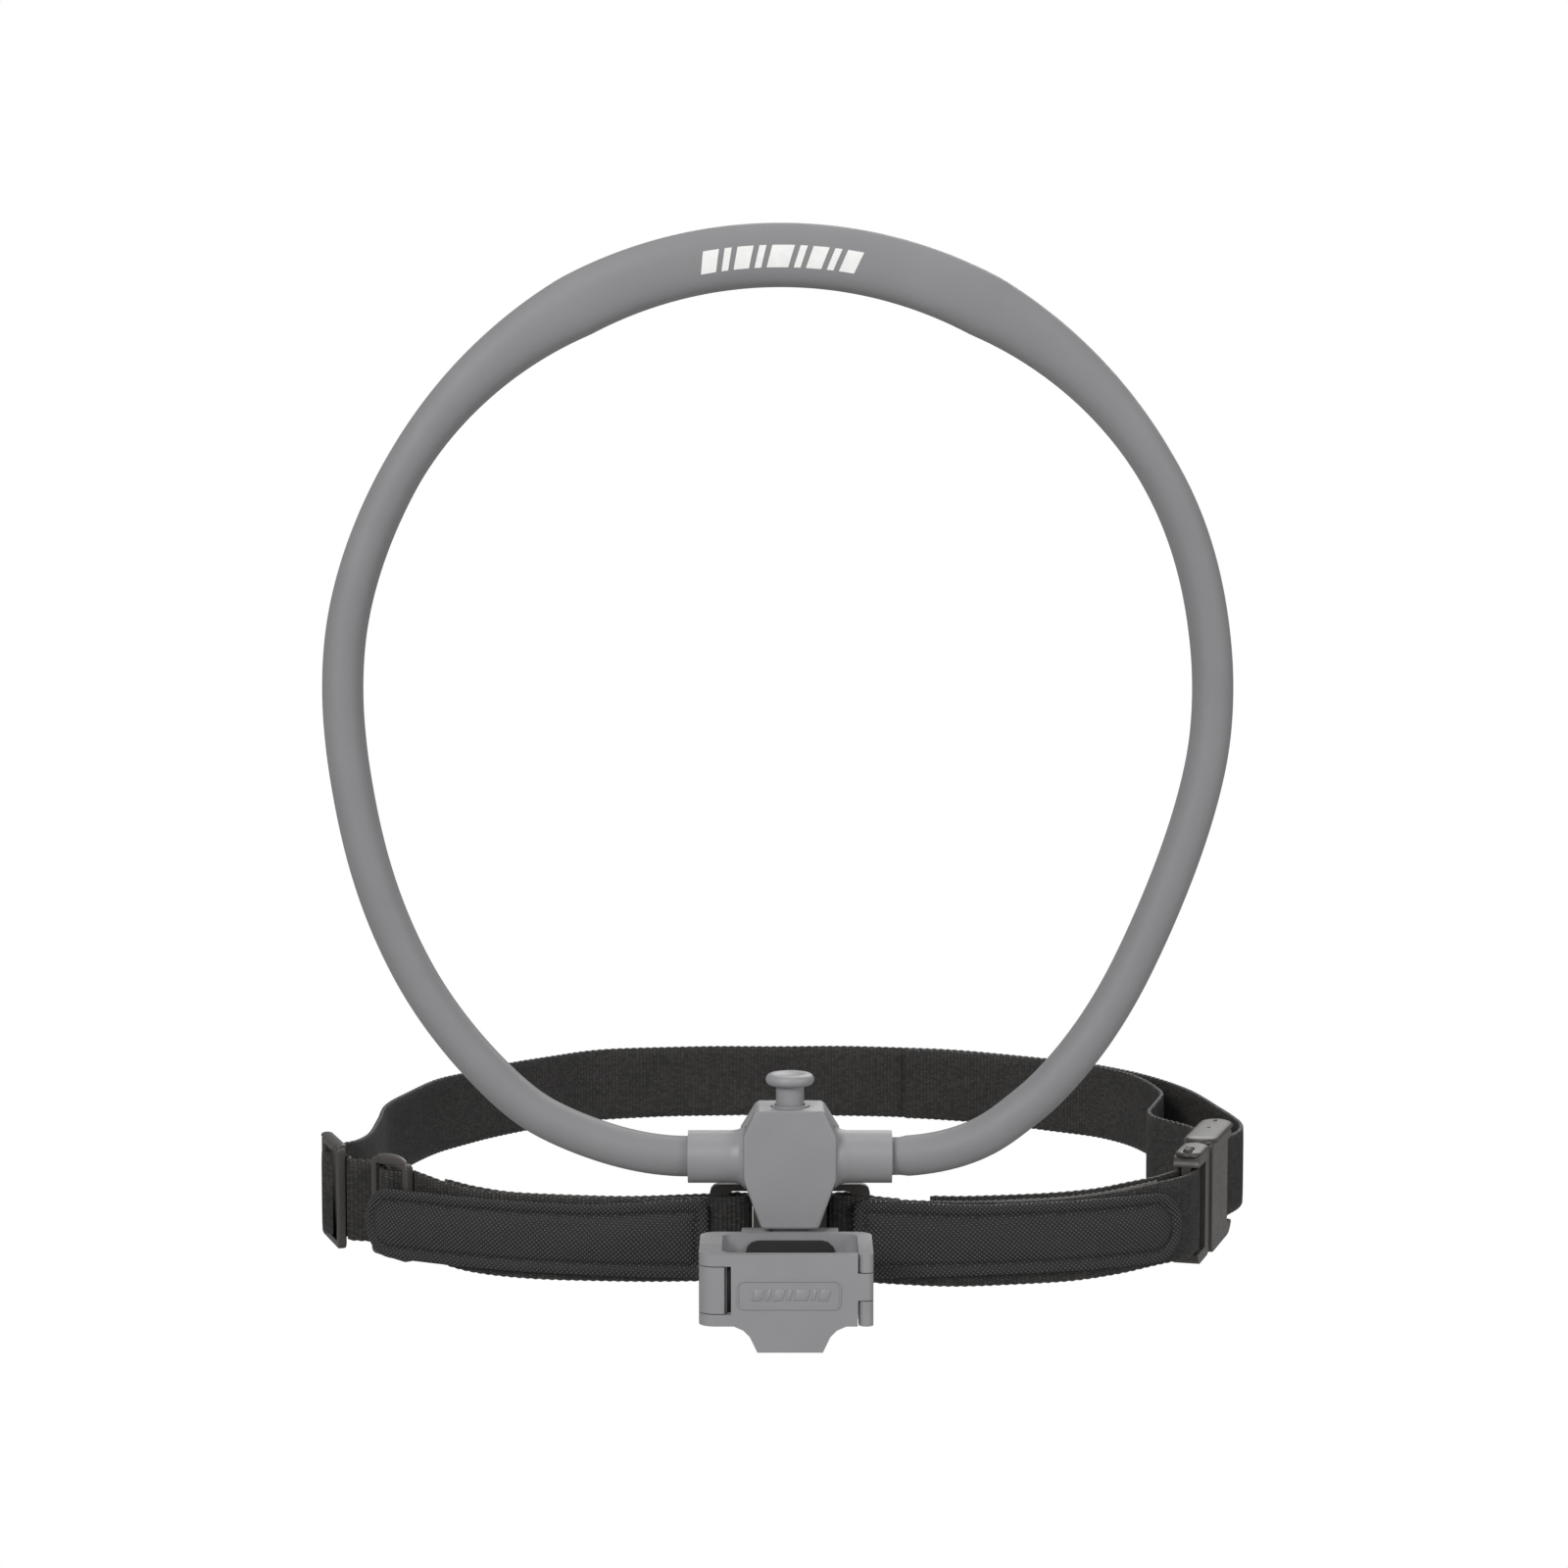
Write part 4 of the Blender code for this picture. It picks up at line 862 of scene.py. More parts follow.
def points_piece(name, spots, directions=None):
    """A mesh of loose points, with a direction on each where one is given."""
    mesh = bpy.data.meshes.new(name)
    mesh.from_pydata([Vector(s) for s in spots], [], [])
    if directions is not None:
        facing = mesh.attributes.new("facing", "FLOAT_VECTOR", "POINT")
        for item, direction in zip(facing.data, directions):
            item.vector = direction
    piece = bpy.data.objects.new(name, mesh)
    scene.collection.objects.link(piece)
    return piece


# %% Build the screw tree
SCREW_INPUTS = (("Head Radius", "NodeSocketFloat", 2.2 * MM),
                ("Head Height", "NodeSocketFloat", 1.6 * MM),
                ("Shank Radius", "NodeSocketFloat", 1.05 * MM),
                ("Shank Length", "NodeSocketFloat", 12.0 * MM), ("Finish", "NodeSocketMaterial", None))
tree, given, result = node_tree("pan_head_screws", SCREW_INPUTS)
ball = add_node(tree, "GeometryNodeMeshUVSphere", {"Segments": 24, "Rings": 16},
                {"Radius": given.outputs["Head Radius"]})
squat = add_node(tree, "ShaderNodeMath", {"operation": "DIVIDE"},
                 {0: given.outputs["Head Height"], 1: given.outputs["Head Radius"]})
squat_scale = add_node(tree, "ShaderNodeCombineXYZ", {"X": 1.0, "Y": 1.0}, {"Z": squat.outputs["Value"]})
low_ball = add_node(tree, "GeometryNodeTransform", {},
                    {"Geometry": ball.outputs["Mesh"], "Scale": squat_scale.outputs["Vector"]})
half_space = add_node(tree, "GeometryNodeMeshCube", {"Size": (8 * MM, 8 * MM, 8 * MM)})
half_low = add_node(tree, "GeometryNodeTransform", {"Translation": (0, 0, -4 * MM)},
                    {"Geometry": half_space.outputs["Mesh"]})
slot_a = add_node(tree, "GeometryNodeMeshCube", {"Size": (2.4 * MM, 0.6 * MM, 2.0 * MM)})
slot_b = add_node(tree, "GeometryNodeMeshCube", {"Size": (0.6 * MM, 2.4 * MM, 2.0 * MM)})
slots = add_node(tree, "GeometryNodeJoinGeometry", {})
tree.links.new(slot_a.outputs["Mesh"], slots.inputs["Geometry"])
tree.links.new(slot_b.outputs["Mesh"], slots.inputs["Geometry"])
slots_up = add_node(tree, "GeometryNodeTransform", {"Translation": (0, 0, 1.7 * MM)},
                    {"Geometry": slots.outputs["Geometry"]})
head = add_node(tree, "GeometryNodeMeshBoolean", {"operation": "DIFFERENCE"},
                {0: low_ball.outputs["Geometry"]})
tree.links.new(half_low.outputs["Geometry"], head.inputs[1])
tree.links.new(slots_up.outputs["Geometry"], head.inputs[1])
shank = add_node(tree, "GeometryNodeMeshCylinder", {"Vertices": 16},
                 {"Radius": given.outputs["Shank Radius"], "Depth": given.outputs["Shank Length"]})
shank_drop = add_node(tree, "ShaderNodeMath", {"operation": "MULTIPLY", 1: -0.5},
                      {0: given.outputs["Shank Length"]})
shank_place = add_node(tree, "ShaderNodeCombineXYZ", {}, {"Z": shank_drop.outputs["Value"]})
shank_low = add_node(tree, "GeometryNodeTransform", {},
                     {"Geometry": shank.outputs["Mesh"], "Translation": shank_place.outputs["Vector"]})
screw = add_node(tree, "GeometryNodeJoinGeometry", {})
tree.links.new(head.outputs["Mesh"], screw.inputs["Geometry"])
tree.links.new(shank_low.outputs["Geometry"], screw.inputs["Geometry"])
facing = add_node(tree, "GeometryNodeInputNamedAttribute", {"data_type": "FLOAT_VECTOR", "Name": "facing"})
turn = add_node(tree, "FunctionNodeAlignRotationToVector", {"axis": "Z"},
                {"Vector": facing.outputs["Attribute"]})
copies = add_node(tree, "GeometryNodeInstanceOnPoints", {},
                  {"Points": given.outputs["Geometry"], "Instance": screw.outputs["Geometry"],
                   "Rotation": turn.outputs["Rotation"]})
finish_tree(tree, result, copies.outputs["Instances"], given.outputs["Finish"])
screw_tree = tree
print("screw tree nodes", len(tree.nodes))

# %% Place the screws
HUB_SCREWS = [(side * x, z) for x, z in ((8.6, 13.0), (9.5, -10.0)) for side in (-1, 1)]
BACKWARDS = Vector((0, 1, 0))
hub_screws = points_piece("hub_screws", [place(x, 6.35, z) for x, z in HUB_SCREWS], [BACKWARDS] * 4)
run_tree(hub_screws, screw_tree, {"Finish": steel})
hand_over(hub_screws, "harness", "steel", *[f"hub_screw_{i}" for i in (1, 2, 3, 4)])
plate_screws = points_piece("plate_screws", [place(0, 10.85, z) for z in (-13.3, -18.7)], [BACKWARDS] * 2)
run_tree(plate_screws, screw_tree, {"Finish": steel, "Head Height": 1.4 * MM, "Shank Length": 8.0 * MM})
hand_over(plate_screws, "harness", "steel", "plate_screw_1", "plate_screw_2")
for piece in (hub_screws, plate_screws):
    piece.data.shade_smooth()
    piece.data.set_sharp_from_angle(angle=math.radians(35))
print("screw faces", len(hub_screws.data.polygons), len(plate_screws.data.polygons))

# %% [markdown]
# ## Webbing routes
# A strap's lie is drawn in plan as points on its middle line. A third number lifts or drops it there. A
# Catmull-Rom curve passes through all of them, and it is then walked at an even step, so the ribs come
# out the same size in a tight fold as on a straight run.

# %% Routes in plan
WEB_THICK = 1.4
SLIDER_LIFT = 2.0


def smooth_route(points, per_leg=24):
    points = [Vector((*p, 0.0)[:3]) for p in points]
    padded = [2 * points[0] - points[1], *points, 2 * points[-1] - points[-2]]
    route = []
    for i in range(len(points) - 1):
        a, b, c, d = padded[i:i + 4]
        for k in range(per_leg):
            t = k / per_leg
            route.append(0.5 * (2 * b + (c - a) * t + (2 * a - 5 * b + 4 * c - d) * t * t
                                + (3 * b - a - 3 * c + d) * t ** 3))
    return [*route, points[-1]]


def walked(route, step):
    """The route again with its points an even step apart."""
    lengths = [0.0]
    for a, b in zip(route, route[1:]):
        lengths.append(lengths[-1] + (b - a).length)
    count = max(2, round(lengths[-1] / step))
    out = []
    j = 0
    for i in range(count + 1):
        target = lengths[-1] * i / count
        while j < len(lengths) - 2 and lengths[j + 1] < target:
            j += 1
        share = (target - lengths[j]) / max(lengths[j + 1] - lengths[j], 1e-9)
        out.append(route[j].lerp(route[j + 1], min(share, 1.0)))
    return out, lengths[-1]


def shifted(route, distance):
    moved = []
    for i, point in enumerate(route):
        along = (route[min(i + 1, len(route) - 1)] - route[max(i - 1, 0)]).normalized()
        moved.append(point + Vector((along.y, -along.x, 0.0)) * distance)
    return moved


def between(route, x_low, x_high):
    return [point for point in route if x_low <= point.x <= x_high]


def woven(home, turn, length, leave=False):
    """Plan points of webbing through a slider, with its bulge outward round the middle bar."""
    along = Vector((math.cos(turn), math.sin(turn)))
    across = Vector((-along.y, along.x))
    half = length / 2
    slot_at = (half - 1.5) / 2
    runs = [(-half - 2, -2.7), (-half + 2.7, -3.0), (-slot_at, 0.0), (-1.6, 3.0), (1.6, 3.0), (slot_at, 0.0)]
    runs += [(half - 4.0, -3.4), (half - 1.6, -6.4)] if leave else [(half - 2.7, -3.0), (half + 2, -2.7)]
    spots = [Vector(home) + along * run + across * off for run, off in runs]
    return [(spot.x, spot.y, SLIDER_LIFT) for spot in spots]


FOLD = [(-20.0, 14.2), (-15.2, 13.6), (-12.75, 11.0), (-15.2, 8.4), (-20.0, 7.9)]
LEFT_OUTER = [(-30, 9.0, -0.5), (-56, 12.0, -1.3), (-87, 18.8, -1.6), (-107, 26.5, -1)]
LEFT_INNER = [(-114, 35.5, 0), (-103, 30.5, -1.5), (-87, 25.2, -2.5), (-56, 19.5, -2.5), (-30, 15.2, -1)]
RIGHT_OUTER = [(30, 9.0, -1.2), (56, 12.0, -2.8), (87, 18.0, -3), (107, 25.0, -2), (122, 33.0, -0.5),
               (131.5, 40.5)]
RIGHT_INNER = [(122, 42.5, -0.5), (113, 37.0, -1.2), (100, 31.0, -2.3), (80, 25.0, -2.8), (60, 20.8, -2.8),
               (46, 18.5, -2.2)]
LEFT_PAD = [(-20, 6.0), (-56, 9.7), (-87, 16.5), (-106, 23.2), (-121.5, 30.5), (-134.0, 37.6), (-145, 48)]
BACK = [(-149.3, 96, 1.5), (-147.4, 118), (-147.2, 145), (-147.3, 171), (-142, 195), (-134, 221),
        (-124, 238), (-110, 258), (-93, 276), (-78, 288), (-60, 294), (-35, 298), (0, 299), (30, 297.5),
        (59.5, 291.3), (82, 282), (102, 269), (118, 257), (127, 246), (134, 235.5), (143, 219),
        (149, 203), (152.8, 187)]
TAIL = [(46, 292.6), (59, 289.2), (81, 280.2), (100.7, 267.3), (116.6, 255.4), (125.3, 244.8),
        (131.2, 233.9), (135.2, 221), (137.5, 209), (138.5, 196)]
END_OUTER = [(153.2, 185.3), (156.3, 168), (159.2, 150), (160.8, 134), (158.6, 121)]
END_INNER = [(145.6, 118), (141.6, 130.5), (134.5, 141.5), (130.8, 150), (130.6, 160), (134, 174),
             (138.4, 194)]
print("back route points", len(BACK), "tail route points", len(TAIL))

# %% [markdown]
# ## Weave a strap
# A strap is swept as a flat section with rounded edges. Along the length its thickness rises and falls
# once a rib, and the two edges scallop as the weft turns back. A slow random sway keeps it from looking
# like a ruler. The rows also write a UV map in metres, which the yarn pattern follows through every fold.

# %% Sweep the ribbed webbing
ROWS_PER_RIB = 4
RIB_DEPTH = 0.2
SCALLOP = 0.16


def flat_section(half_high, half_thick, across=9):
    """Points (height, thickness, place across) of a flat section with rounded edges."""
    side = []
    for k in range(across):
        t = -1 + 2 * k / (across - 1)
        side.append((t * (half_high - half_thick * 0.8), half_thick, t))
    nose = [(half_high - half_thick * 0.25, half_thick * 0.72, 1.0), (half_high, 0.0, 1.0),
            (half_high - half_thick * 0.25, -half_thick * 0.72, 1.0)]
    back = [(-s[0], -s[1], -s[2]) for s in side]
    tail = [(-n[0], -n[1], -1.0) for n in nose]
    return side + nose + back + tail


def strap(name, route, finish=None, low=WEB_LOW, high=WEB_HIGH, thick=WEB_THICK, rib=RIB, depth=RIB_DEPTH,
          scallop=SCALLOP, seed=1):
    line, length = walked(smooth_route(route) if isinstance(route[0], tuple) else route, rib / ROWS_PER_RIB)
    sway = random.Random(seed)
    phases = [sway.uniform(0, 6.28) for _ in range(4)]
    bm = bmesh.new()
    uv = bm.loops.layers.uv.new("UVMap")
    half_high = (high - low) / 2
    middle = (high + low) / 2
    section = flat_section(half_high, thick / 2)
    rows = []
    step = length / (len(line) - 1)
    for i, point in enumerate(line):
        s = i * step
        along = (line[min(i + 1, len(line) - 1)] - line[max(i - 1, 0)]).normalized()
        side = Vector((along.y, -along.x, 0))
        swell = math.cos(2 * math.pi * s / rib)
        edge = scallop * math.cos(math.pi * s / rib + phases[0])
        drift = 0.12 * math.sin(s / 17 + phases[1]) + 0.08 * math.sin(s / 7.3 + phases[2])
        row = []
        for up, out, place_across in section:
            puff = 1 + depth / (thick / 2) * swell * (1 - 0.6 * abs(place_across) ** 6)
            reach = up + (edge + drift if abs(place_across) > 0.99 else drift) * (1 if up > 0 else -1) * 0.8
            spot = point + side * out * puff
            row.append(bm.verts.new(place(spot.x, spot.y, middle + point.z + reach)))
        rows.append(row)
    count = len(section)
    for i, (a, b) in enumerate(zip(rows, rows[1:])):
        for k in range(count):
            n = (k + 1) % count
            face = bm.faces.new((a[k], b[k], b[n], a[n]))
            run = [section[k][0], section[k][0], section[n][0], section[n][0]]
            for loop, s, v in zip(face.loops, (i, i + 1, i + 1, i), run):
                loop[uv].uv = (s * step * MM, v * MM)
    bm.faces.new(rows[0])
    bm.faces.new(rows[-1])
    return new_piece(name, bm, finish or webbing)


front_left = strap("front_webbing_left", [*LEFT_INNER, *FOLD, *LEFT_OUTER, *woven(*FRONT_SLIDER),
                                          *woven(*LEFT_SLIDER, leave=True)[:-1]], seed=3)
hand_over(front_left, "harness", "nylon_webbing", "front_strap_left")

plug_bar = BUCKLE_AT + BUCKLE_ALONG * 3.2
PLUG_WRAP = [plug_bar + BUCKLE_ACROSS * off + BUCKLE_ALONG * run
             for run, off in ((-1.5, -2.9), (2.2, -2.9), (5.6, 0), (2.2, 2.9), (-1.5, 2.9))]
right_fold = [(-x, y) for x, y in FOLD]
front_right = strap("front_webbing_right", [(36, 16.4, -2.5), (28, 15.2, -1.5), *right_fold, *RIGHT_OUTER,
                                            *[(p.x, p.y) for p in PLUG_WRAP], *RIGHT_INNER], seed=5)
hand_over(front_right, "harness", "nylon_webbing", "front_strap_right")
print("front webbing faces", len(front_left.data.polygons), len(front_right.data.polygons))

# %% [markdown]
# ## Back strap
# One length of webbing runs from the left slider round the back to the buckle, turns round the socket's
# bar and comes back on itself inside. When the buckle opens, the socket slides along the strap's line;
# this piece is attached to no body and does not follow the socket.

# %% The back strap, from slider to buckle and back
socket_bar = BUCKLE_AT + BUCKLE_ALONG * 61.0
SOCKET_WRAP = [socket_bar + BUCKLE_ACROSS * off + BUCKLE_ALONG * run
               for run, off in ((1.0, -2.9), (-2.0, -2.9), (-5.4, 0), (-2.0, 2.9), (1.0, 2.9))]
start_at = woven(*LEFT_SLIDER, leave=True)[-2:]
back = strap("back_webbing", [*start_at, *BACK, *END_OUTER[1:], *[(p.x, p.y) for p in SOCKET_WRAP],
                              *END_INNER, *reversed(TAIL[:-1])], seed=8)
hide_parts("back_strap", "back_strap_tail", "back_strap_end")
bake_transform(back)
print("back webbing faces", len(back.data.polygons))

# %% [markdown]
# ## Pads
# Each pad is a leatherette cover over thin foam. The cover is turned over a rim, and a line of stitches
# 4.3 mm in from the edge draws it down, so the rim stands as a soft roll and the middle crowns. The pad
# is too thin for a cloth simulation, whose remesh would erase its rim, so its surface is worked out from
# the distance to the outline: that one number gives the roll, the stitch line and the crown.

# %% Shape a pad
PAD_HALF_HIGH = 13.0
PAD_HALF_THICK = 1.2
STITCH_IN = 4.3
CROWN = 0.75


def edge_distance(s, v, length, radii):
    """How far a point lies inside an outline with a small radius at one end and a large one at the other."""
    radius = radii[0] if s < length / 2 else radii[1]
    dx = abs(s - length / 2) - (length / 2 - radius)
    dy = abs(v) - (PAD_HALF_HIGH - radius)
    outside = math.hypot(max(dx, 0), max(dy, 0)) + min(max(dx, dy), 0)
    return max(radius - outside, 0.0)


def half_height(s, length, radii):
    inset = min(s, length - s)
    radius = radii[0] if s < length / 2 else radii[1]
    if inset >= radius:
        return PAD_HALF_HIGH
    return PAD_HALF_HIGH - radius + math.sqrt(max(radius ** 2 - (radius - inset) ** 2, 0.0))


def pad_thickness(inside, crown):
    """Half thickness at a distance in from the edge."""
    roll = PAD_HALF_THICK * math.sqrt(min(inside / 1.4, 1.0) * (2 - min(inside / 1.4, 1.0)))
    drawn = 0.7 * math.exp(-((inside - STITCH_IN) / 0.7) ** 2)
    fall = 0.25 * ease((inside - 2.2) / 1.6) * (1 - ease((inside - 4.8) / 2))
    return max(roll - drawn - fall + crown * ease((inside - STITCH_IN) / 7.5), 0.02)


SETTLE = 2.5
SETTLE_RUN = 45.0


def settled(s, v):
    """A height on the pad, whose upper edge settles a little lower away from the hub."""
    return v - SETTLE * ease(s / SETTLE_RUN) * (v + PAD_HALF_HIGH) / (2 * PAD_HALF_HIGH)


def pad(name, line, length, radii, seed):
    """A pad along a walked line, whose points are about half a millimetre apart."""
    wrinkle = random.Random(seed)
    waves = [(wrinkle.uniform(0.06, 0.16), wrinkle.uniform(5, 14), wrinkle.uniform(0, 6.28))
             for _ in range(4)]
    bm = bmesh.new()
    uv = bm.loops.layers.uv.new("UVMap")
    step = length / (len(line) - 1)
    across = 44
    faces_rows = []
    for i, point in enumerate(line):
        s = i * step
        along = (line[min(i + 1, len(line) - 1)] - line[max(i - 1, 0)]).normalized()
        side = Vector((along.y, -along.x, 0))
        if side.y > 0:
            side = -side
        high = max(half_height(s, length, radii), 0.4)
        row = []
        for k in range(across + 1):
            v = -high * math.cos(math.pi * k / across)
            v = v * 0.5 + high * 0.5 * (-1 + 2 * k / across)
            inside = edge_distance(s, v, length, radii)
            puff = sum(a * math.sin(s / w + v / 6 + p) for a, w, p in waves) * ease((inside - 5) / 5)
            front = pad_thickness(inside, CROWN) + puff
            rear = pad_thickness(inside, 0.1)
            spot = [point + side * front, point - side * rear]
            row.append([(bm.verts.new(place(p.x, p.y, WEB_MID + p.z + settled(s, v))), s, v) for p in spot])
        faces_rows.append(row)
    for a, b in zip(faces_rows, faces_rows[1:]):
        for k in range(across):
            for level, order in ((0, (0, 1, 2, 3)), (1, (3, 2, 1, 0))):
                corners = [a[k][level], b[k][level], b[k + 1][level], a[k + 1][level]]
                face = bm.faces.new([corners[o][0] for o in order])
                for loop, o in zip(face.loops, order):
                    loop[uv].uv = (corners[o][1] * MM, corners[o][2] * MM)
        for k in (0, across):
            bm.faces.new((a[k][0][0], a[k][1][0], b[k][1][0], b[k][0][0]))
    for row in (faces_rows[0], faces_rows[-1]):
        for a, b in zip(row, row[1:]):
            bm.faces.new((a[0][0], b[0][0], b[1][0], a[1][0]))
    bmesh.ops.remove_doubles(bm, verts=bm.verts, dist=0.01 * MM)
    return new_piece(name, bm, leatherette, 60)


# %% Make the two pads
PAD_STEP = 0.55
left_run = between(smooth_route(LEFT_PAD), -141.5, -26)
right_outer_run = smooth_route([(20.0, 7.9), *RIGHT_OUTER])
right_run = [Vector((p.x, p.y, 0)) for p in between(shifted(right_outer_run, 2.3), 20, 130)]
PAD_CORNERS = (4.0, 12.0)
PADS = {"left": (*walked(left_run, PAD_STEP), PAD_CORNERS, 11),
        "right": (*walked(right_run, PAD_STEP), PAD_CORNERS, 12)}
for side_name, (line, length, radii, seed) in PADS.items():
    made = pad("chest_pad_" + side_name, line, length, radii, seed)
    hand_over(made, "harness", "leatherette", "pad_" + side_name)
    print(made.name, "length", round(length, 1), "faces", len(made.data.polygons))

# %% [markdown]
# ## Stitches by Geometry Nodes
# A sewing machine lays the same stitch again and again along a line. The line is a curve that lies in the
# pad's stitch groove. A node tree resamples it at the stitch pitch and puts a short capsule of thread on
# every point, turned along the line. Pitch, length and thread thickness are named inputs.

# %% Build the stitch tree
STITCH_INPUTS = (("Pitch", "NodeSocketFloat", 2.5 * MM), ("Stitch Length", "NodeSocketFloat", 1.9 * MM),
                 ("Thread Radius", "NodeSocketFloat", 0.32 * MM), ("Finish", "NodeSocketMaterial", None))
tree, given, result = node_tree("stitches", STITCH_INPUTS)
line_curve = add_node(tree, "GeometryNodeMeshToCurve", {}, {"Mesh": given.outputs["Geometry"]})
marks = add_node(tree, "GeometryNodeResampleCurve", {"mode": "LENGTH"},
                 {"Curve": line_curve.outputs["Curve"], "Length": given.outputs["Pitch"]})
tangent = add_node(tree, "GeometryNodeInputTangent", {})
turn = add_node(tree, "FunctionNodeAlignRotationToVector", {"axis": "X"},
                {"Vector": tangent.outputs["Tangent"]})
bead = add_node(tree, "GeometryNodeMeshUVSphere", {"Segments": 8, "Rings": 6, "Radius": 1.0})
half_length = add_node(tree, "ShaderNodeMath", {"operation": "MULTIPLY", 1: 0.5},
                       {0: given.outputs["Stitch Length"]})
bead_size = add_node(tree, "ShaderNodeCombineXYZ", {},
                     {"X": half_length.outputs["Value"], "Y": given.outputs["Thread Radius"],
                      "Z": given.outputs["Thread Radius"]})
capsule = add_node(tree, "GeometryNodeTransform", {},
                   {"Geometry": bead.outputs["Mesh"], "Scale": bead_size.outputs["Vector"]})
copies = add_node(tree, "GeometryNodeInstanceOnPoints", {},
                  {"Points": marks.outputs["Curve"], "Instance": capsule.outputs["Geometry"],
                   "Rotation": turn.outputs["Rotation"]})
finish_tree(tree, result, copies.outputs["Instances"], given.outputs["Finish"])
stitch_tree = tree


# %% Sew the pads
def stitch_line(line, length, radii):
    """The closed path at the stitch's distance inside the pad's outline, lying in its groove."""
    half = PAD_HALF_HIGH - STITCH_IN
    corner = [max(r - STITCH_IN, 0.8) for r in radii]
    flat = []
    for cx, cy, r, start in ((length - STITCH_IN - corner[1], -half + corner[1], corner[1], -90),
                             (length - STITCH_IN - corner[1], half - corner[1], corner[1], 0),
                             (STITCH_IN + corner[0], half - corner[0], corner[0], 90),
                             (STITCH_IN + corner[0], -half + corner[0], corner[0], 180)):
        for k in range(9):
            angle = math.radians(start + 90 * k / 8)
            flat.append((cx + r * math.cos(angle), cy + r * math.sin(angle)))
    dense = []
    for (s0, v0), (s1, v1) in zip(flat, [*flat[1:], flat[0]]):
        parts = max(1, round(math.hypot(s1 - s0, v1 - v0) / 1.0))
        dense += [(s0 + (s1 - s0) * k / parts, v0 + (v1 - v0) * k / parts) for k in range(parts)]
    spots = []
    for s, v in dense:
        where = s / length * (len(line) - 1)
        i = min(int(where), len(line) - 2)
        point = line[i].lerp(line[i + 1], where - i)
        along = (line[i + 1] - line[i]).normalized()
        side = Vector((along.y, -along.x, 0))
        side = -side if side.y > 0 else side
        spot = point + side * (pad_thickness(STITCH_IN, CROWN) + 0.05)
        spots.append(place(spot.x, spot.y, WEB_MID + point.z + settled(s, v)))
    return spots


for side_name, (line, length, radii, seed) in PADS.items():
    spots = stitch_line(line, length, radii)
    mesh = bpy.data.meshes.new("pad_stitches_" + side_name)
    mesh.from_pydata(spots, [(i, (i + 1) % len(spots)) for i in range(len(spots))], [])
    sewn = bpy.data.objects.new("pad_stitches_" + side_name, mesh)
    scene.collection.objects.link(sewn)
    run_tree(sewn, stitch_tree, {"Finish": thread})
    sewn.data.shade_smooth()
    hand_over(sewn, "harness", "leatherette")
    print(sewn.name, "faces", len(sewn.data.polygons))

# %% [markdown]
# ## Hook and loop tapes
# Behind each pad, the strap's doubled layers hold together by a hook tape facing a loop tape. Each is a
# woven ground with a face of its own: short bent hooks in rows on one, a tangle of arched fibres on the
# other. The grounds are thin ribbed ribbons. The faces are copies on a grid of points, with a fixed seed.

# %% Build the pile tree
PILE_INPUTS = (("Shape Radius", "NodeSocketFloat", 0.5 * MM), ("Fibre Radius", "NodeSocketFloat", 0.1 * MM),
               ("Arc", "NodeSocketFloat", math.pi), ("Twist", "NodeSocketFloat", 0.3),
               ("Seed", "NodeSocketInt", 4), ("Finish", "NodeSocketMaterial", None))
tree, given, result = node_tree("tape_pile", PILE_INPUTS)
bow = add_node(tree, "GeometryNodeCurveArc", {"Resolution": 6},
               {"Radius": given.outputs["Shape Radius"], "Sweep Angle": given.outputs["Arc"]})
round_wire = add_node(tree, "GeometryNodeCurvePrimitiveCircle", {"Resolution": 3},
                      {"Radius": given.outputs["Fibre Radius"]})
fibre = add_node(tree, "GeometryNodeCurveToMesh", {"Fill Caps": True},
                 {"Curve": bow.outputs["Curve"], "Profile Curve": round_wire.outputs["Curve"]})
upright = add_node(tree, "GeometryNodeTransform", {"Rotation": (math.pi / 2, 0, 0)},
                   {"Geometry": fibre.outputs["Mesh"]})
facing = add_node(tree, "GeometryNodeInputNamedAttribute", {"data_type": "FLOAT_VECTOR", "Name": "facing"})
stand = add_node(tree, "FunctionNodeAlignRotationToVector", {"axis": "Z"},
                 {"Vector": facing.outputs["Attribute"]})
twist = add_node(tree, "FunctionNodeRandomValue", {"data_type": "FLOAT"}, {"Seed": given.outputs["Seed"]})
spin = add_node(tree, "ShaderNodeMath", {"operation": "MULTIPLY", 1: 2 * math.pi},
                {0: given.outputs["Twist"]})
spun_by = add_node(tree, "ShaderNodeMath", {"operation": "MULTIPLY"},
                   {0: twist.outputs[1], 1: spin.outputs["Value"]})
spin_vector = add_node(tree, "ShaderNodeCombineXYZ", {}, {"Z": spun_by.outputs["Value"]})
local_turn = add_node(tree, "FunctionNodeRotateRotation", {"rotation_space": "LOCAL"},
                      {"Rotation": stand.outputs["Rotation"]})
tree.links.new(spin_vector.outputs["Vector"], local_turn.inputs["Rotate By"])
copies = add_node(tree, "GeometryNodeInstanceOnPoints", {},
                  {"Points": given.outputs["Geometry"], "Instance": upright.outputs["Geometry"],
                   "Rotation": local_turn.outputs["Rotation"]})
finish_tree(tree, result, copies.outputs["Instances"], given.outputs["Finish"])
pile_tree = tree

# %% Make the tapes
left_outer_run = smooth_route([(-20.0, 7.9), *LEFT_OUTER, *woven(*FRONT_SLIDER)])
left_inner_run = smooth_route([(-20, 14.2), *reversed(LEFT_INNER)])
right_inner_run = smooth_route(list(reversed(RIGHT_INNER)))
TAPE_HALF = 12.0
GROUND_SHARE = 0.6
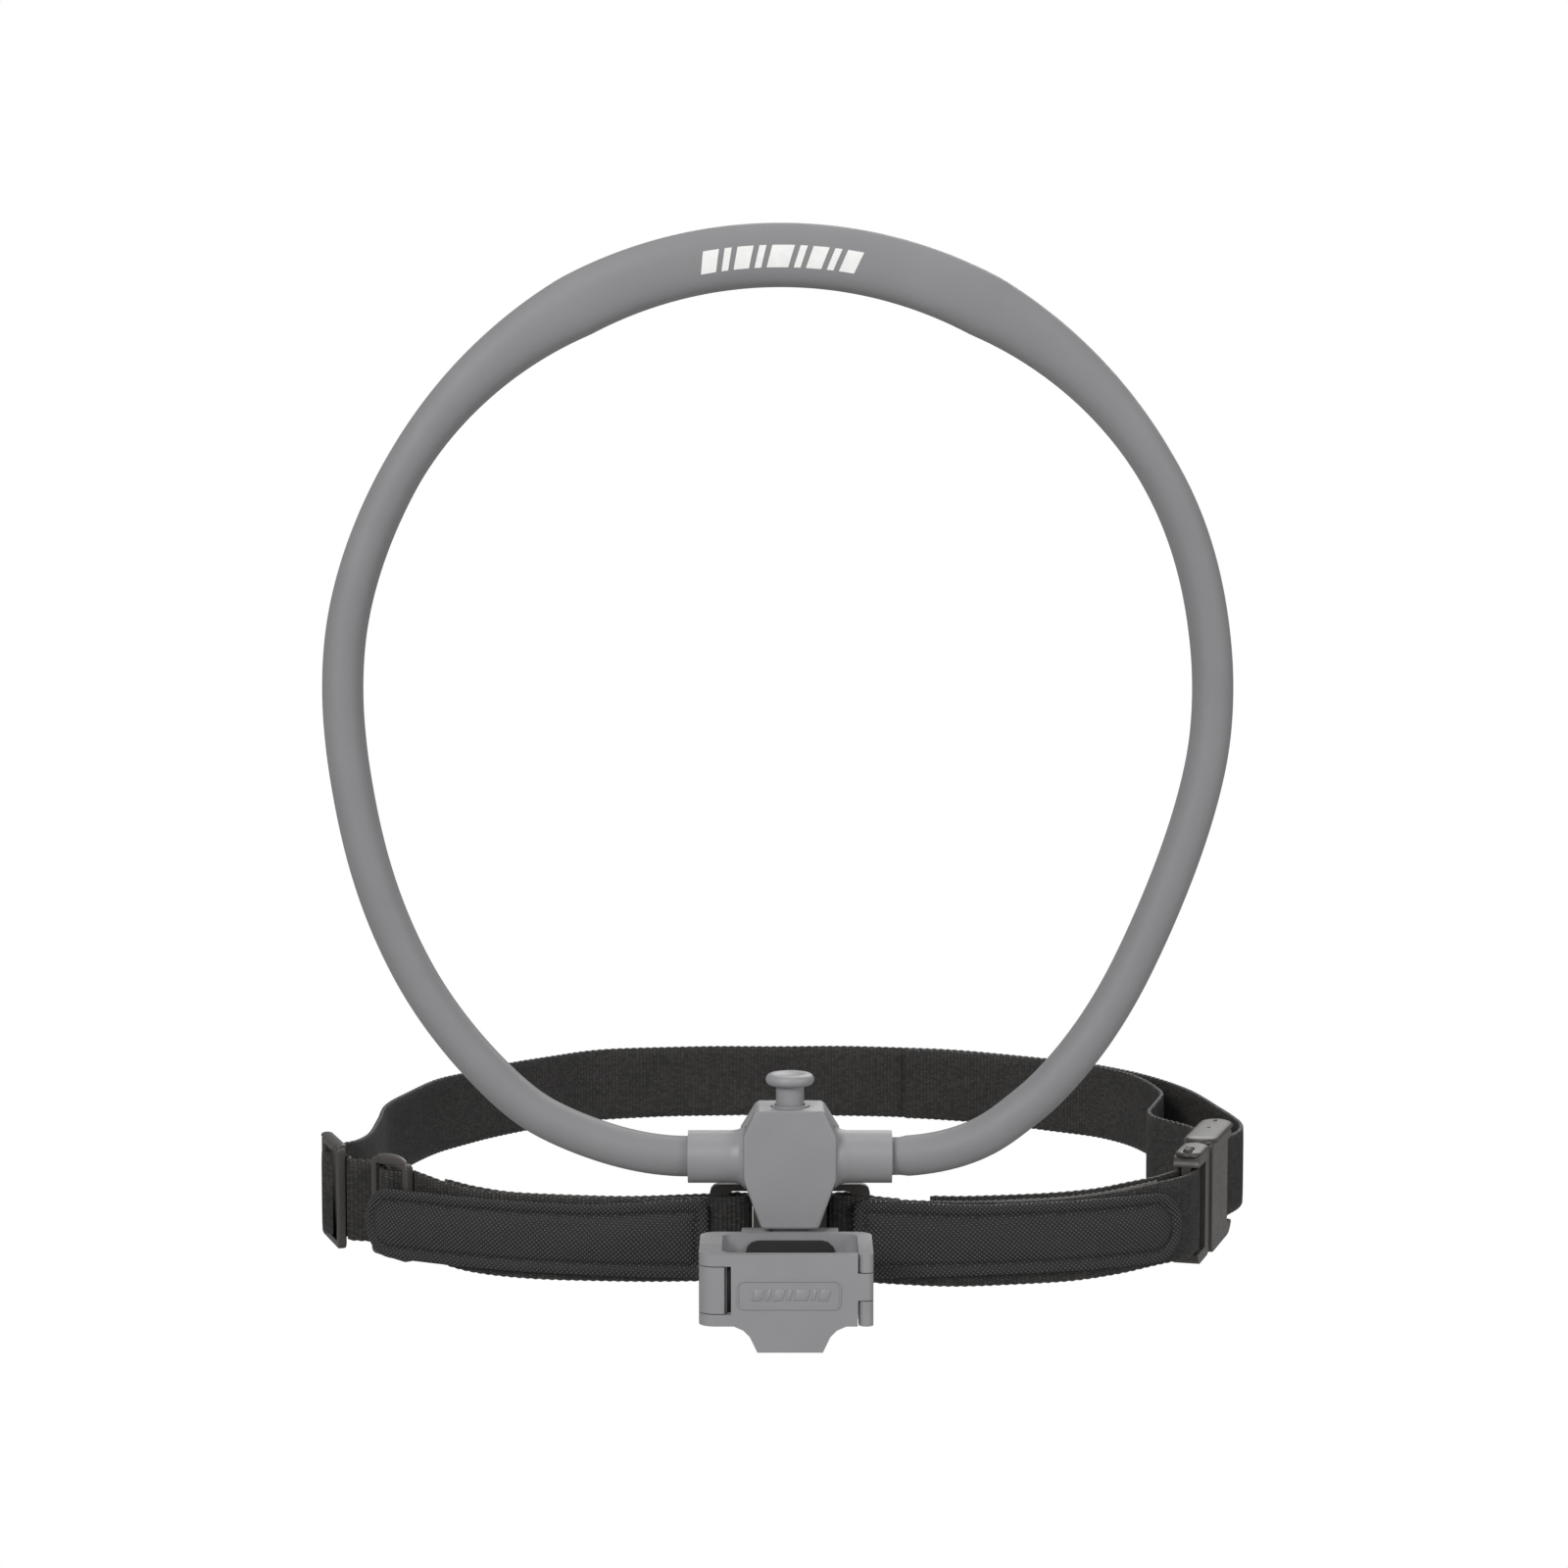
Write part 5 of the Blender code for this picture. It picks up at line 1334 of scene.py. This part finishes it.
# The right hook tape sits a little high, so its pale edge shows over the pad
SHOWN_EDGE = 2.0
TAPES = {
    "hook_tape_left": (between(shifted(left_outer_run, 1.6), -114, -34), 1.0, 1, "hook"),
    "hook_tape_right": (between(shifted(right_outer_run, -1.6), 46, 122), 1.0, -1, "hook"),
    "loop_tape_left": (between(shifted(left_inner_run, -1.7), -104, -34), 1.2, -1, "loop"),
    "loop_tape_right": (between(shifted(right_inner_run, 1.7), 49, 114), 1.2, 1, "loop"),
}


def pile_points(line, face, thick, pitch, seed):
    """Places and directions of the pile on one face of a tape, a little off a straight grid."""
    jitter = random.Random(seed)
    spots, directions = [], []
    for i in range(2, len(line) - 2):
        along = (line[i + 1] - line[i - 1]).normalized()
        out = Vector((along.y, -along.x, 0)) * face
        count = int(2 * (TAPE_HALF - 0.7) / pitch)
        for k in range(count + 1):
            v = -TAPE_HALF + 0.7 + k * pitch + jitter.uniform(-0.15, 0.15)
            spot = line[i] + along * jitter.uniform(-0.2, 0.2) + out * (thick / 2 - 0.15)
            spots.append(place(spot.x, spot.y, WEB_MID + spot.z + v))
            directions.append(out)
    return spots, directions


for number, (node, (run, thick, face, kind)) in enumerate(TAPES.items()):
    finish = hook_tape if kind == "hook" else loop_tape
    top = WEB_MID + TAPE_HALF + (SHOWN_EDGE if node == "hook_tape_right" else 0.0)
    ground = strap("ground_" + node, run, finish, WEB_MID - TAPE_HALF, top, thick * GROUND_SHARE,
                   rib=1.2, depth=0.06, scallop=0.2, seed=20 + number)
    hand_over(ground, "harness", kind + "_tape", node)
    pitch = 1.5 if kind == "hook" else 1.25
    line, length = walked(run, pitch)
    spots, directions = pile_points(line, face, thick * GROUND_SHARE, pitch, 30 + number)
    pile = points_piece("pile_" + node, spots, directions)
    shape = ({"Shape Radius": 0.34 * MM, "Arc": 3.9, "Twist": 0.05} if kind == "hook"
             else {"Shape Radius": 0.42 * MM, "Arc": math.pi, "Twist": 1.0, "Fibre Radius": 0.07 * MM})
    run_tree(pile, pile_tree, {**shape, "Finish": finish, "Seed": number})
    hand_over(pile, "harness", kind + "_tape")
    print(node, "copies", len(spots), "faces", len(pile.data.polygons))

# %% [markdown]
# ## Door panel
# The clamp door has a raised rounded outline on its front, with a plain row of slanted bars inside it in
# place of any name. Both are moulded with the door, so they share its plastic and ride on it. A thin
# strip of black rubber in the latch's pocket is painted shade: it shows as a dark line beside the latch.

# %% Raised outline and bars on the door
DOOR_FRONT = -46.0
PANEL_X = (-16.5, 16.0)
PANEL_Z = (-39.4, -30.0)
RIDGE = 0.55
PROUD = 0.35
PANEL_CORNER = 2.2
BAR_WIDTHS = (3.0, 1.2, 3.0, 1.2, 4.2, 1.2, 3.0)
BAR_GAP = 1.15
BAR_SLANT = 0.9
BAR_INSET = (4.6, 3.0)
# Where the painted shade in the latch pocket stands, and its size.
POCKET_SHADE_AT = (-19.03, -43.78, -33.35)
POCKET_SHADE_SIZE = (1.16, 0.2, 14.5)


def rounded_outline(x, z, radius, steps=8):
    spots = []
    for cx, cz, start in ((x[1] - radius, z[0] + radius, -90), (x[1] - radius, z[1] - radius, 0),
                          (x[0] + radius, z[1] - radius, 90), (x[0] + radius, z[0] + radius, 180)):
        for k in range(steps + 1):
            angle = math.radians(start + 90 * k / steps)
            spots.append((cx + radius * math.cos(angle), cz + radius * math.sin(angle)))
    return spots


def door_panel():
    bm = bmesh.new()
    loops = []
    for inset, proud in ((0, -0.1), (0, PROUD * 0.6), (RIDGE * 0.3, PROUD), (RIDGE * 0.7, PROUD),
                         (RIDGE, PROUD * 0.6), (RIDGE, -0.1)):
        outline = rounded_outline((PANEL_X[0] + inset, PANEL_X[1] - inset),
                                  (PANEL_Z[0] + inset, PANEL_Z[1] - inset), PANEL_CORNER - inset)
        loops.append([bm.verts.new(place(x, DOOR_FRONT - proud, z)) for x, z in outline])
    bridge(bm, [*loops, loops[0]])
    left = PANEL_X[0] + BAR_INSET[0]
    low, high = PANEL_Z[0] + BAR_INSET[1], PANEL_Z[1] - BAR_INSET[1]
    for width in BAR_WIDTHS:
        base = ((left, low), (left + width, low), (left + width + BAR_SLANT, high), (left + BAR_SLANT, high))
        rims = []
        for shrink, proud in ((0, -0.1), (0, 0.22), (0.12, 0.3)):
            mid_x = sum(x for x, z in base) / 4
            mid_z = (low + high) / 2
            rims.append([bm.verts.new(place(x - math.copysign(shrink, x - mid_x), DOOR_FRONT - proud,
                                            z - math.copysign(shrink, z - mid_z))) for x, z in base])
        bridge(bm, rims)
        bm.faces.new(rims[0])
        bm.faces.new(rims[-1])
        left += width + BAR_GAP
    return new_piece("door_panel", bm, abs_grey, 40)


hand_over(door_panel(), "door", "abs_grey")

# A dark rubber box in the latch's pocket, as painted shade for the slot beside the latch.
bm = bmesh.new()
bmesh.ops.create_cube(bm, size=1.0)
for corner in bm.verts:
    corner.co = place(*[at + size * share for at, size, share in zip(POCKET_SHADE_AT, POCKET_SHADE_SIZE, corner.co)])
hand_over(new_piece("latch_pocket_shade", bm, rubber), "door", "black_rubber")

# %% [markdown]
# ## World and floor
# The world lights the object evenly but stays pure white to the camera, as a lit paper sweep would. The
# floor is plain pale board, far enough below the holder that no hard shadow falls on it.

# %% World and floor
world = bpy.data.worlds.new("white_tent")
scene.world = world
world.use_nodes = True
tree = world.node_tree
tree.nodes.clear()
even_light = add_node(tree, "ShaderNodeBackground", {"Color": (1, 1, 1, 1), "Strength": 0.3})
white_back = add_node(tree, "ShaderNodeBackground", {"Color": (1, 1, 1, 1), "Strength": 1.0})
seen_by = add_node(tree, "ShaderNodeLightPath", {})
mixed = add_node(tree, "ShaderNodeMixShader", {},
                 {0: seen_by.outputs["Is Camera Ray"], 1: even_light.outputs[0], 2: white_back.outputs[0]})
add_node(tree, "ShaderNodeOutputWorld", {}, {"Surface": mixed.outputs[0]})

paper, tree, shader = new_material("white_paper_board", Roughness=0.9)
tree.links.new(two_tone(tree, grain(tree, 60), "#A8A8A8", "#B4B4B4"), shader.inputs["Base Color"])
glow = add_node(tree, "ShaderNodeEmission", {"Color": (1, 1, 1, 1), "Strength": 1.0})
seen_by = add_node(tree, "ShaderNodeLightPath", {})
blown = add_node(tree, "ShaderNodeMixShader", {},
                 {0: seen_by.outputs["Is Camera Ray"], 1: shader.outputs[0], 2: glow.outputs[0]})
tree.links.new(blown.outputs[0], tree.nodes["Material Output"].inputs["Surface"])
FLOOR_DROP = 0.14
bm = bmesh.new()
bmesh.ops.create_grid(bm, x_segments=4, y_segments=4, size=18)
bmesh.ops.translate(bm, vec=(0, 0, cad_box[0].z - FLOOR_DROP), verts=bm.verts)
floor = new_piece("floor", bm, paper)
floor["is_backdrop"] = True
print("floor at", round(cad_box[0].z - FLOOR_DROP, 3))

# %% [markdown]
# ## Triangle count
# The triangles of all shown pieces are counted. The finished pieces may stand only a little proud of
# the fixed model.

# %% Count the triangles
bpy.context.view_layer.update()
triangles = 0
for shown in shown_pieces():
    if shown.type == "MESH":
        triangles += sum(len(p.vertices) - 2 for p in shown.data.polygons)
print("triangles", triangles)
